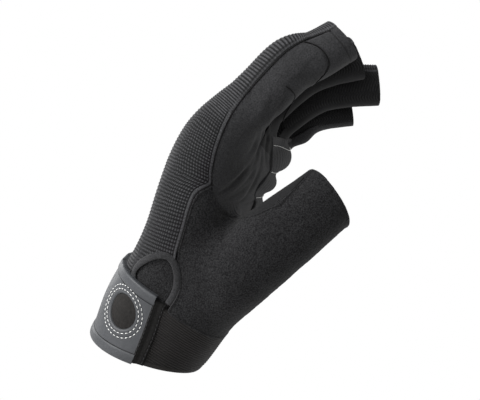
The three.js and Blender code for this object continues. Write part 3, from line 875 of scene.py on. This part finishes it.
def creases(points):
    # Each crease is a valley, a bell across it faded out along its length, with a softer ridge on
    # one side.
    total = np.zeros(points.shape[:-1])
    for middle, (_, _, degrees, length, width, share) in zip(creaseMiddles, creaseTable):
        angle = math.radians(degrees)
        away = points - middle
        x = away @ (cameraRight * math.cos(angle) - cameraUp * math.sin(angle))
        y = away @ (cameraRight * math.sin(angle) + cameraUp * math.cos(angle)) - 0.02 * x**2
        fade = np.exp(-(2 * x / length)**4) * bell(away @ cameraForward, 14.0)
        total = total + share * fade * (bell(y, width * 0.5) - 0.55 * bell(y - width, width * 0.6))
    return total


def suedeHeight(info):
    # Slow noise for the give of the cloth, less the creases, and a heel at the little finger's base;
    # the creases are darkened with painted shade
    slow = hashNoise(info["p"], 7.0, 1.7) - 0.5 + 0.5 * (hashNoise(info["p"], 3.1, 5.2) - 0.5)
    fold = creases(info["p"])
    bulge = bell(np.linalg.norm(info["p"] - suedeSet["heelAt"], axis=-1), suedeSet["heelWide"])
    raised = (suedeSet["lift"] + suedeSet["give"] * slow - suedeSet["crease"] * fold
              + suedeSet["heel"] * bulge)
    return raised, np.clip(0.5 * fold, 0, 0.6)


def tuckedHeight(info):
    # The palm's lower edge dives a little, under the thumb's face and the cuff.
    raised, grooveShade = suedeHeight(info)
    return raised - suedeSet["tuck"] * (1 - smoothStep(info["bottom"], 0.5, 3.0)), grooveShade


def innerHeight(info):
    # The thumb's inner face is laid over the palm's edge with a thin turned edge, darkened with painted
    # shade.
    raised, grooveShade = suedeHeight(info)
    turned = 1 - smoothStep(info["bottom"], 0, 0.5)
    return raised + 0.1 - 0.4 * turned, np.clip(grooveShade + 0.5 * turned, 0, 1)


def puffedHeight(info):
    # The index finger's suede swells before its rounded end, where the band begins.
    raised, grooveShade = suedeHeight(info)
    t, theta, _ = limbCoords(indexLimb, info["p"].reshape(-1, 3))
    order = np.argsort(arcTheta)
    before = (np.interp(wrapped(theta), arcTheta[order], arcT[order]) - t).reshape(raised.shape) * 2.0
    swell = smoothStep(before, 0.3, 1.8) * bell(before, suedeSet["swellLong"])
    return raised + suedeSet["swell"] * swell * smoothStep(info["left"], 4.5, 9.0), grooveShade


def baseShadedHeight(info):
    # The middle and ring fingers' strips, darker towards their bases with painted shade
    raised, grooveShade = suedeHeight(info)
    baseShade = suedeSet["baseShade"] * (1 - smoothStep(info["row"], 0.3, 0.75))
    return raised, np.clip(grooveShade + baseShade, 0, 0.7)


innerAngles = np.radians(np.linspace(*suedeSet["inner"], 67))
crossT = halved(lambda points: formDistance(points, ("hand",)) < 0, 0.0)
cuffT = halved(lambda points: points @ leanAxis < suedeSet["bottom"], -6.0)
rootT = suedeSet["crotch"] * smoothStep(innerAngles, math.radians(100), math.radians(140))
innerStart = np.maximum(np.maximum(crossT - 0.25, cuffT), rootT)
v = np.linspace(0, 1, 26)[:, None]
innerT = innerStart[None] + (lastT - innerStart[None]) * v
innerNet, innerOut = seat(limbPoint(thumb, innerT, innerAngles[None]), ("hand", "thumb"))
thumbInner = shell(innerNet, innerOut, 40, 44, innerHeight, suedeSet["thick"], cell=2)

# The palm's net lies on the hand's stations, angles and heights. Its lower edge runs under the
# fleece, round the thumb's root and along the cuff.
crotch, _ = seat(limbPoint(thumb, innerStart + 0.8, innerAngles), ("hand", "thumb"))
keep = (crossT > cuffT) & (innerAngles < np.pi)
crotchLine = np.stack(limbCoords(hand, crotch), 1)[keep]
nearBottom = np.stack(limbCoords(hand, seen(seamPixels["underFleece"], allLimbs, 24)), 1)
palmAngles = np.linspace(crotchLine[-1, 1], float(farTheta(np.array([8.5]))[0]), 40)
palmBottom = np.stack([handAt(palmAngles, suedeSet["bottom"]), palmAngles, 0 * palmAngles], 1)
bottomLine = np.concatenate([nearBottom, crotchLine, palmBottom[1:]])
bottomLine = evenly(bottomLine, suedeSet["cols"], arcScale)
leftT, rightT = [np.linspace(bottomLine[end, 0], knuckleT, suedeSet["rows"]) for end in (0, -1)]
leftLine = np.stack([leftT, seamTheta(leftT, nearSeam) - suedeSet["underLap"], 0 * leftT], 1)
leftLine[0] = bottomLine[0]
rightLine = np.stack([rightT, farTheta(rightT) + suedeSet["underLap"], 0 * rightT], 1)
topLine = np.linspace((knuckleT, leftLine[-1, 1], 0.0), (knuckleT, rightLine[-1, 1], 0.0),
                      suedeSet["cols"])
palmParams = relaxed(coons(bottomLine, topLine, leftLine, rightLine), 40)
palmNet, palmOut = seat(limbPoint(hand, *np.moveaxis(palmParams, -1, 0)), allLimbs)

suedeParts = [shell(palmNet, palmOut, 56, 60, tuckedHeight, suedeSet["thick"])]
shadeParts = []
splits = [palmParams[-1, 0, 1], *webShares(1), palmParams[-1, -1, 1]]
palmTable = {
    # left and right angle, height, and the parts that the strip goes to
    "index": (None, palmHalf, puffedHeight, suedeParts),
    "middle": (-palmHalf, palmHalf, baseShadedHeight, shadeParts),
    "ring": (-palmHalf, palmHalf, baseShadedHeight, shadeParts),
    "little": (-palmHalf, np.pi - backHalf + 0.12, suedeHeight, suedeParts),
}
for i, (name, (left, right, height, parts)) in enumerate(palmTable.items()):
    net, out, _ = fingerStrip(name, np.linspace(splits[i], splits[i + 1], 15), right, left, 0.35)
    parts.append(shell(net, out, 30, 14, height, suedeSet["thick"]))
putParts("palm_suede", suedeParts, cloths["suedeCloth"], ["palm_panel"])
# Darker copy of the suede, as painted shade on the middle and ring strips and the thumb's inner face
putParts("finger_palm_strips", shadeParts, cloths["paintedShadeSuede"], ["palm_panel"])
putParts("thumb_inner_face", [thumbInner], cloths["paintedShadeSuede"], ["palm_panel"])

# Brushed cloth of the heel and the thumb
print("stage: thumb panel")
fleeceSet = {"lift": 0.3, "thick": 1.6, "loop": 0.16, "give": 0.3, "bead": 1.5, "beadHigh": 0.3,
             "push": 13.0, "bottom": 28.2}
undersideTable = np.array([
    # height and y of the fleece's edge on the palm's side
    (31.0, -2.0), (45.0, -9.0), (60.0, -18.0), (78.0, -26.0), (92.0, -29.5)])
thumbForm = ("hand", "thumb")


def fleeceHeight(info):
    # Loops are two fine noises; the edge by the knit and the suede is a rolled fold, with painted shade
    # along it.
    loops = hashNoise(info["p"], 0.9, 2.3) + 0.6 * hashNoise(info["p"], 1.7, 8.1) - 0.8
    slow = hashNoise(info["p"], 8.0, 6.4) - 0.5
    e, width = info["edge"], fleeceSet["bead"]
    bead = dome((e - width / 2) / (width / 2)) * (e < width)
    raised = (fleeceSet["lift"] + fleeceSet["loop"] * loops + fleeceSet["give"] * slow
              + fleeceSet["beadHigh"] * bead - 0.7 * (1 - smoothStep(e, 0, 0.5)))
    grooveShade = bell(e - width * 1.1, 0.3) * 0.35 + 0.5 * (1 - smoothStep(e, 0, 0.3))
    return raised, np.clip(grooveShade, 0, 1)


def pushedNet(net, names, push, toward):
    # A Coons net pushed outwards in its middle, then seated from outside
    normal = unit(np.cross(np.gradient(net, axis=1), np.gradient(net, axis=0)))
    normal = normal if normal.mean((0, 1)) @ toward > 0 else -normal
    v = np.linspace(0, 1, net.shape[0])[:, None]
    u = np.linspace(0, 1, net.shape[1])[None]
    inside = np.clip(5 * np.minimum(np.minimum(u, 1 - u), np.minimum(v, 1 - v)), 0, 1)
    return seat(net + normal * (push * inside)[..., None], names, 9)


fleeceLeft = seen(seamPixels["fleeceLeft"], allLimbs, 80)
fleeceTop = seen(seamPixels["fleeceSuede"] + seamPixels["thumbTop"][1:], allLimbs, 80)
topAngle = float(wrapped(limbCoords(thumb, fleeceTop[-1:])[1], 0.0)[0])
underZ = np.linspace(31, 92, 40)
underStart = np.stack([np.full(40, 110.0), np.interp(underZ, *undersideTable.T), underZ], 1)
underside = traced(underStart, np.tile([-1.0, 0.0, 0.0], (40, 1)),
                   lambda points: formDistance(points, thumbForm))
endAngle = float(limbCoords(thumb, underside[-1:])[1][0])
fleeceRight = limbPoint(thumb, float(lastT), np.linspace(endAngle, topAngle, 60))
heelEnds = limbCoords(hand, np.concatenate([fleeceLeft[:1], underside[:1]]))[1]
heelAngles = np.linspace(*heelEnds, 40)
heelLine, _ = seat(limbPoint(hand, handAt(heelAngles, fleeceSet["bottom"]), heelAngles), thumbForm)
fleeceBottom = np.concatenate([fleeceLeft[:1], heelLine[2:-1], underside, fleeceRight[:1]])
fleeceTop = np.concatenate([fleeceTop, fleeceRight[-1:]])
fleeceNet = coons(evenly(fleeceBottom, 64), evenly(fleeceTop, 64),
                  evenly(fleeceLeft, 40), evenly(fleeceRight, 40))
fleeceNet, fleeceOut = pushedNet(fleeceNet, thumbForm, fleeceSet["push"], np.array([0.0, -1.0, 0.0]))
fleece = shell(fleeceNet, fleeceOut, 54, 66, fleeceHeight, fleeceSet["thick"])
putParts("thumb_fleece", [fleece], cloths["fleeceCloth"], ["thumb_panel"])

# Ribbed strips between the fingers
print("stage: strips between the fingers")
stripSet = {"lift": -0.25, "thick": 1.0, "pitch": 1.3, "rib": 0.32, "slant": 0.45, "start": 124.0,
            "low": 38.0, "high": 126.0, "sag": 3.0}


def stripHeight(info):
    # Ribs are a raised cosine of the way up the finger, leaning across it, with painted shade in the
    # valleys between them.
    rib = ribWave((info["bottom"] + stripSet["slant"] * info["left"]) / stripSet["pitch"], 0.8)
    return stripSet["lift"] + stripSet["rib"] * rib, (1 - rib)**1.1


for one, after in zip(fingerNames, fingerNames[1:]):
    sides = []
    for name, near in ((one, 1), (after, -1)):
        t = np.linspace(lastT, float(heightT(limbs[name], stripSet["start"])), 18)[:, None]
        ends = [near * math.radians(stripSet[end]) for end in ("high", "low")]
        theta = np.linspace(*ends, 13)[None]
        sides.append(seat(limbPoint(limbs[name], t, theta), ("hand", name))[0])
    s = smoothStep(np.linspace(0, 1, 7)[1:-1], 0, 1)[:, None, None]
    web = sides[0][-1][None] * (1 - s) + sides[1][-1][None] * s
    web, _ = seat(web - np.array([0, 0, stripSet["sag"]]) * (4 * s * (1 - s)), ("hand", one, after))
    net, out = seat(np.concatenate([sides[0], web, sides[1][::-1]]), ("hand", one, after), 2)
    strip = shell(net, out, 96, 8, stripHeight, stripSet["thick"])
    putParts(f"fourchette_{one}_{after}_ribbed", [strip], cloths["ribbedCloth"],
             [f"fourchette_{one}_{after}"])

# Band at the index finger's end
print("stage: index band")
bandSet = {"lift": 0.1, "thick": 1.4, "soft": 0.7, "far": 62.0, "seam": 4.2, "seamDeep": 0.22}
bandFar = math.radians(bandSet["far"])
pastArc = np.linspace(arcTheta[-1], bandFar, 12)[1:]
arcLine = np.stack([np.append(arcT, np.full(11, arcT[-1])), np.append(arcTheta, pastArc)], 1)
arcLine = evenly(arcLine, 31, arcScale)
endLine = np.linspace((lastT, arcTheta[0]), (lastT, bandFar), 31)
s = np.linspace(0, 1, 15)[:, None, None]
bandParams = arcLine[None] * (1 - s) + endLine[None] * s
bandNet, bandOut = seat(limbPoint(indexLimb, bandParams[..., 0], bandParams[..., 1]), ("index",))


def bandHeight(info):
    # A narrow seam line runs a little inside the opening's edge, and the arc's edge is raised; both are
    # darkened with painted shade.
    raised, grooveShade = edged(bandSet["lift"], bandSet["soft"])(info)
    seam = bell(info["top"] - bandSet["seam"], 0.28)
    raised = raised - bandSet["seamDeep"] * seam + 0.1 * bell(info["bottom"] - 1.0, 0.6)
    return raised, np.clip(0.8 * seam + (1 - smoothStep(info["bottom"], 0, 0.35)), 0, 1)


band = shell(bandNet, bandOut, 14, 24, bandHeight, bandSet["thick"])
putParts("index_end_band", [band], cloths["suedeCloth"], ["index_band"])

# Padded rolls on the palm
print("stage: palm rolls")
rollSet = {
    "lift": 0.35, "thick": 1.2, "turn": 16.0, "tilt": 7.0, "soft": 2.0, "pucker": 0.0875,
    "low": 74.0, "high": 118.6, "far": 62.0, "middle": 3.0,
    "valleys": (114.6, 101.8, 89.0), "stitchFar": 56.0, "stitchLift": 0.35,
}
rollTable = [
    # middle x, y, z, half depth, half breadth, half height
    (4.9, 3.0, 109.2, 9.2, 24.0, 8.6), (4.3, 3.0, 95.6, 9.2, 25.0, 6.8),
    (4.0, 3.5, 82.6, 9.0, 25.0, 7.6),
]
rollTurn, rollTilt = math.radians(rollSet["turn"]), math.radians(rollSet["tilt"])
rollLong = np.array([math.sin(rollTurn), math.cos(rollTurn), 0.0])  # their length before the tilt
rollAxes = np.array([
    [math.cos(rollTurn), -math.sin(rollTurn), 0.0],
    rollLong * math.cos(rollTilt) + np.array([0.0, 0.0, math.sin(rollTilt)]),
    -rollLong * math.sin(rollTilt) + np.array([0.0, 0.0, math.cos(rollTilt)]),
])


def rollDistance(points):
    # An ellipsoid's distance is k (k - 1) / g, with k its scaled radius and g its slope.
    found = formDistance(points, ("hand",) + fingerNames)
    for row in rollTable:
        q = (points - np.array(row[:3])) @ rollAxes.T
        k = np.linalg.norm(q / np.array(row[3:]), axis=-1)
        g = np.linalg.norm(q / np.array(row[3:])**2, axis=-1)
        found = smoothLower(found, k * (k - 1) / np.maximum(g, 1e-6), rollSet["soft"])
    return found


def rollSurface(t, angles):
    # From 14 mm over the palm straight in to the rolls, and the slope there
    start = limbPoint(hand, t, angles, 14.0)
    inward = unit(limbPoint(hand, t, angles) - start)
    flat = traced(start.reshape(-1, 3), inward.reshape(-1, 3), rollDistance, 0.0, 40, 16)
    slope = slopeOf(rollDistance, flat)[1]
    return flat.reshape(start.shape), unit(slope).reshape(start.shape)


def alongRolls(points):
    # Height measured along the tilted rolls' own lines
    return points[..., 2] - math.tan(rollTilt) * (points[..., 1] - rollSet["middle"])


def rollStation(level, angle):
    # The hand's station for a height along the tilted rolls, higher towards the little finger
    level, angle = np.broadcast_arrays(np.asarray(level, float), np.asarray(angle, float))
    t = heightT(hand, level)
    for _ in range(10):
        t = t + 0.8 * (level - alongRolls(limbPoint(hand, t, angle, 5.0))) / stationLength
    return t


def nearRoll(level):
    # The angle of the rolls' near edge at a height
    order = np.argsort(edgeLevel)
    return np.interp(level, edgeLevel[order], edgeAngle[order])


def rollHeight(info):
    # Puckers run along the rolls' length, strongest in the valleys between them.
    raised, grooveShade = edged(rollSet["lift"], 1.2, 0.6)(info)
    wave = np.sin(info["left"] * 1.9 + 3 * hashNoise(info["p"], 6.0, 4.4))
    return raised + rollSet["pucker"] * wave * hashNoise(info["p"], 4.0, 9.7), grooveShade


rollEdge = sighted(seamPixels["rollEdge"], 40, rollDistance)
edgeAngle, edgeLevel = limbCoords(hand, rollEdge)[1], alongRolls(rollEdge)
rollLevel = np.linspace(rollSet["low"], rollSet["high"], 57)[:, None]
share = np.linspace(0, 1, 41)[None]
rollAngles = nearRoll(rollLevel) * (1 - share) + math.radians(rollSet["far"]) * share
rollNet, rollOut = rollSurface(rollStation(rollLevel, rollAngles), rollAngles)
rolls = shell(rollNet, rollOut, 56, 44, rollHeight, rollSet["thick"])
palmRolls = putParts("palm_rolls", [rolls], cloths["suedeCloth"], ["palm_patch"])

# Cuff: ribbed elastic on the palm side, plain base under the tab
print("stage: cuff")
cuffSet = {"slant": 0.28, "lift": 0.25, "thick": 1.7, "pitch": 1.22, "rib": 0.3, "hem": 2.6,
           "bead": 1.2, "beadHigh": 0.35, "top": 29.6, "baseTop": 31.2,
           "elasticEnds": (-1.5, -2.6), "baseEnds": 2.4, "baseLift": 0.1}


def cuffHeight(info):
    # Ribs run round the wrist, and the hem at the bottom is a plain rolled edge. Shade is painted into
    # the rib valleys and the line above the hem.
    k, e = cuffSet, info["bottom"]
    rib = ribWave((e + k["slant"] * info["left"]) / k["pitch"], 0.8)
    hem = 1 - smoothStep(e, k["hem"] - 0.6, k["hem"])
    raised = edged(k["lift"], 0.9)(info)[0] + k["rib"] * rib * (1 - hem)
    raised = raised + k["beadHigh"] * dome((e - k["bead"]) / k["bead"]) * hem
    return raised, np.clip(((1 - rib)**1.5) * (1 - hem) + bell(e - k["hem"], 0.25) * 0.6, 0, 1)


def angleAtX(x, side):
    # The wrist's angle where its surface stands at an x, on the thumb's or the other side
    angles = np.linspace(np.pi, 0, 400) * side
    return float(np.interp(x, limbPoint(hand, 4.0, angles)[:, 0], angles))


def cuffNet(angles, top, start=0.0):
    # Rows at equal stations from a start up to a height, seated on the form
    t = start + (handAt(angles, top)[None] - start) * np.linspace(0, 1, 14)[:, None]
    return seat(limbPoint(hand, t, angles[None]), thumbForm)


near, far = cuffSet["elasticEnds"]
elasticNet, elasticOut = cuffNet(np.linspace(angleAtX(near, -1), angleAtX(far, 1), 41), cuffSet["top"])
elastic = shell(elasticNet, elasticOut, 42, 40, cuffHeight, cuffSet["thick"])
putParts("cuff_elastic_ribbed", [elastic], cloths["elasticCloth"], ["cuff_elastic"])
near, far = angleAtX(cuffSet["baseEnds"], -1), angleAtX(cuffSet["baseEnds"], 1) - 2 * np.pi
baseNet, baseOut = cuffNet(np.linspace(near, far, 41), cuffSet["baseTop"], 0.7)
base = shell(baseNet, baseOut, 20, 40, edged(cuffSet["baseLift"], 0.8), cuffSet["thick"], cell=2)
putParts("cuff_base_cloth", [base], cloths["backingCloth"], ["cuff_base"])

# Notch at the thumb's side of the cuff: a sunk gusset and its bound edge
print("stage: notch")
notchSet = {"sink": -1.0, "thick": 0.9, "rim": 3.44, "rimHigh": 1.5, "rimLift": 0.25,
            "x": (-24, 5), "z": (18, 46), "net": 21}
gussetX, gussetZ = [grid.ravel() for grid in np.meshgrid(
    np.linspace(*notchSet["x"], notchSet["net"]), np.linspace(*notchSet["z"], notchSet["net"]))]
gussetStart = np.stack([gussetX, np.full(gussetX.shape, -90.0), gussetZ], -1)
gussetNet = traced(gussetStart, np.tile([0.0, 1.0, 0.0], (len(gussetX), 1)),
                   lambda points: formDistance(points, ("hand",)))
gussetNet, gussetOut = seat(gussetNet.reshape(notchSet["net"], notchSet["net"], 3), ("hand",), 2)
gusset = shell(gussetNet, gussetOut, 26, 26, edged(notchSet["sink"], 0.8), notchSet["thick"], cell=2)
putParts("notch_gusset_cloth", [gusset], cloths["fleeceCloth"], ["notch_gusset"])
rimPath, rimOut = seat(seen(seamPixels["notchRim"], ("hand",), 90), ("hand",))
rim = sweep(rimPath + rimOut * notchSet["rimLift"], rimOut, notchSet["rim"], notchSet["rimHigh"], 14)
putParts("notch_rim_bound", [rim], cloths["suedeCloth"], ["notch_rim"])

# Closure tab with its connector hole, bindings and sewn edge
print("stage: closure tab")
tabSet = {
    "lift": 0.6, "thick": 1.9, "bottom": -0.4, "top": 33.5, "binding": 5.0, "bindingLift": 1.6,
    "crown": 0.14, "end": -3.4, "hole": (121.6, 310.9), "radius": 7.6, "spokes": 160,
    "anchor": 5.4, "anchorTop": 31.5, "anchorLift": 3.1, "backing": 9.2,
}
tabNear, tabFar = angleAtX(tabSet["end"], -1), angleAtX(tabSet["end"], 1) - 2 * np.pi
tabFace = tabSet["lift"] + tabSet["thick"]


def wristPoint(angle, level):
    # The place on the wrist at an angle and at a height square to it
    return limbPoint(hand, handAt(angle, level), angle)


def wristNet(angle, level):
    # The same, seated, with the outward way
    return seat(wristPoint(angle, level), ("hand",), 3)


def hemLevel(angle):
    # The height of the cuff's lower edge at an angle
    return limbPoint(hand, 0.0 * angle, angle) @ leanAxis


def holeRing(turn, radius):
    # Angle and height of a ring round the hole
    return holeAngle + radius * np.cos(turn) / holeArc, holeLevel + radius * np.sin(turn)


def tabHeight(info):
    # A rounded edge round the hole with two slight grooves outside it
    e = info["bottom"]
    dip = 0.16 * (bell(e - 1.9, 0.35) + bell(e - 3.8, 0.35))
    raised = tabFace - 1.1 * rounded(e, 1.5) - dip + tabSet["crown"] * smoothStep(e, 4.5, 9)
    return raised, np.zeros(e.shape)


def bindingHeight(info):
    # A folded band, a squared half ellipse across
    share = np.clip(info["bottom"] / (info["bottom"] + info["top"]), 0, 1)
    return tabSet["lift"] + tabSet["bindingLift"] + dome((2 * share - 1)**2), np.zeros(share.shape)


def anchorHeight(info):
    # The strip slopes down off the tab, with a sewn line near each long edge, sunk and darkened with
    # painted shade.
    raised = edged(tabSet["anchorLift"], 1.3, 1.6)(info)[0] - 1.1 * smoothStep(info["left"], 0.8, 3.2)
    line = bell(info["left"] - 1.2, 0.3) + bell(info["right"] - 1.2, 0.3)
    return raised - 0.2 * line, np.clip(0.5 * line, 0, 1)


holePoint = seen([tabSet["hole"]] * 2, ("hand",), 2, 2.3)[0]
holeAngle = float(limbCoords(hand, holePoint[None])[1][0])
holeLevel = float(holePoint @ leanAxis)
aside = wristPoint(np.array([holeAngle + 0.02, holeAngle]), holeLevel)
holeArc = np.linalg.norm(aside[0] - aside[1]) / 0.02  # millimetres for a radian there

# The tab's net runs from the hole's rim out to a rectangle between the bindings.
highEdge = tabSet["top"] - tabSet["binding"]
turn = np.linspace(-np.pi, np.pi, tabSet["spokes"] + 1)
ray = np.stack([np.cos(turn), np.sin(turn)], 1)
squareX, squareY = (ray / np.abs(ray).max(1, keepdims=True)).T
sideAngle = holeAngle + squareX * np.where(squareX > 0, tabNear - holeAngle, holeAngle - tabFar)
lowEdge = hemLevel(sideAngle) + tabSet["bottom"] + tabSet["binding"]
sideLevel = holeLevel + squareY * np.where(squareY > 0, highEdge - holeLevel, holeLevel - lowEdge)
s = np.linspace(0, 1, 33)[:, None]**1.6
rimAngle, rimLevel = holeRing(turn, tabSet["radius"])
tabNet, tabOut = wristNet(rimAngle * (1 - s) + sideAngle * s, rimLevel * (1 - s) + sideLevel * s)
tab = shell(tabNet, tabOut, 32, tabSet["spokes"], tabHeight, -tabSet["lift"], cell=2)
putParts("closure_tab_leather", [tab], cloths["leatherSkin"], ["closure_tab"])

angles = np.linspace(tabNear, tabFar, 61)
hem = hemLevel(angles) + tabSet["bottom"]
for name, low in (("tab_top_binding", highEdge), ("tab_bottom_binding", hem)):
    net, out = wristNet(angles, low + np.linspace(0, tabSet["binding"], 7)[:, None])
    strip = shell(net, out, 8, 60, bindingHeight, -tabSet["lift"], cell=3)
    putParts(name + "_folded", [strip], cloths["leatherSkin"], [name])

anchorSpan = (tabNear - 0.03, angleAtX(tabSet["end"] + tabSet["anchor"], -1))
angles = np.linspace(*anchorSpan, 9)
hem = hemLevel(angles) + 0.1
net, out = wristNet(angles, hem + (tabSet["anchorTop"] - hem) * np.linspace(0, 1, 31)[:, None])
anchor = shell(net, out, 40, 8, anchorHeight, -0.2)
putParts("tab_anchor_strip", [anchor], cloths["anchorCloth"], ["tab_anchor"])

across = np.linspace(-tabSet["backing"], tabSet["backing"], 15)
net, out = wristNet(holeAngle + across[None] / holeArc, holeLevel + across[:, None])
backing = shell(net, out, 14, 14, edged(1.5, 1.0, 0.8), 0.0, cell=2)
putParts("tab_hole_backing", [backing], cloths["backingCloth"])

# Stitches and seam threads
print("stage: stitches")
stitchSet = {
    # thread's thickness, stitch length and pitch; round the hole the length is a share of the
    # pitch, and each row has its radius and its count
    "ring": (0.34, 0.62, ((9.5, 28), (11.4, 34))), "rolls": (0.3, 1.75, 2.0),
    "anchor": (0.42, 1.5, 2.0), "notch": (0.32, 1.2, 1.7),
}
threadSet = {"width": 0.55, "high": 0.5, "slit": 1.3, "binding": 0.75, "bindingHigh": 0.6}
threadTable = {"knitSuede": 0.0, "fleeceSuede": 0.1, "thumbTop": 0.1, "knitFleece": 0.2,
               "indexBase": -0.1, "indexArc": 0.25}  # seam: height over the form

rings = []
thick, long, rows = stitchSet["ring"]
for radius, count in rows:
    path, out = wristNet(*holeRing(np.linspace(0, 2 * np.pi, 240, endpoint=False), radius))
    path, out = [np.concatenate([line, line[:1]]) for line in (path, out)]
    pitch = 2 * np.pi * radius / count
    rings.append(dashes(path + out * (tabFace - 0.12), out, pitch, pitch * long, thick, 0.1))
putParts("tab_ring_stitches", rings, cloths["whiteThread"])

threads = []
for name, lift in threadTable.items():
    path, out = seat(seen(seamPixels[name], allLimbs, 160), allLimbs, 2)
    threads.append(sweep(path + out * lift, out, threadSet["width"], threadSet["high"]))
path, out = seat(seen(seamPixels["thumbSlit"], thumbForm), thumbForm, 2)
slitWidth = threadSet["slit"] * np.sin(np.linspace(0.15, 3.0, len(path)))
threads.append(sweep(path - out * 0.1, out, slitWidth, threadSet["high"]))
angles = np.linspace(tabNear - 0.01, tabFar + 0.01, 160)
for level in (highEdge + 0.1, hemLevel(angles) + tabSet["bottom"] + tabSet["binding"] - 0.1):
    path, out = wristNet(angles, level)
    threads.append(sweep(path + out * (tabFace - 0.1), out, threadSet["binding"],
                         threadSet["bindingHigh"]))
putParts("seam_threads", threads, cloths["darkThread"])

white = []
thick, long, pitch = stitchSet["rolls"]
for level in rollSet["valleys"]:
    angles = np.linspace(float(nearRoll(level)) + 0.02, math.radians(rollSet["stitchFar"]), 70)
    path, out = rollSurface(rollStation(level, angles), angles)
    white.append(dashes(path + out * rollSet["stitchLift"], out, pitch, long, thick, 0.1))
putParts("roll_stitches", white, cloths["whiteThread"])

grey = []
thick, long, pitch = stitchSet["anchor"]
for share in (0.16, 0.84):
    angle = anchorSpan[0] * (1 - share) + anchorSpan[1] * share
    path, out = wristNet(np.full(60, angle), np.linspace(1.0, tabSet["anchorTop"] - 0.6, 60))
    grey.append(dashes(path + out * (2.95 - 0.9 * share), out, pitch, long, thick, 0.15))
thick, long, pitch = stitchSet["notch"]
for name in ("notchSide", "notchTop"):
    path, out = seat(seen(seamPixels[name], ("hand",)), ("hand",), 2)
    grey.append(dashes(path + out * 0.65, out, pitch, long, thick, 0.1))
putParts("edge_stitches", grey, cloths["greyThread"])

half, low = roomSet["half"], roomSet["floor"]
floorCorners = [(-half, -half, low), (half, -half, low), (half, half, low), (-half, half, low)]
putMesh("floor", floorCorners, [(0, 1, 2, 3)], [], cloths["paleFloor"])
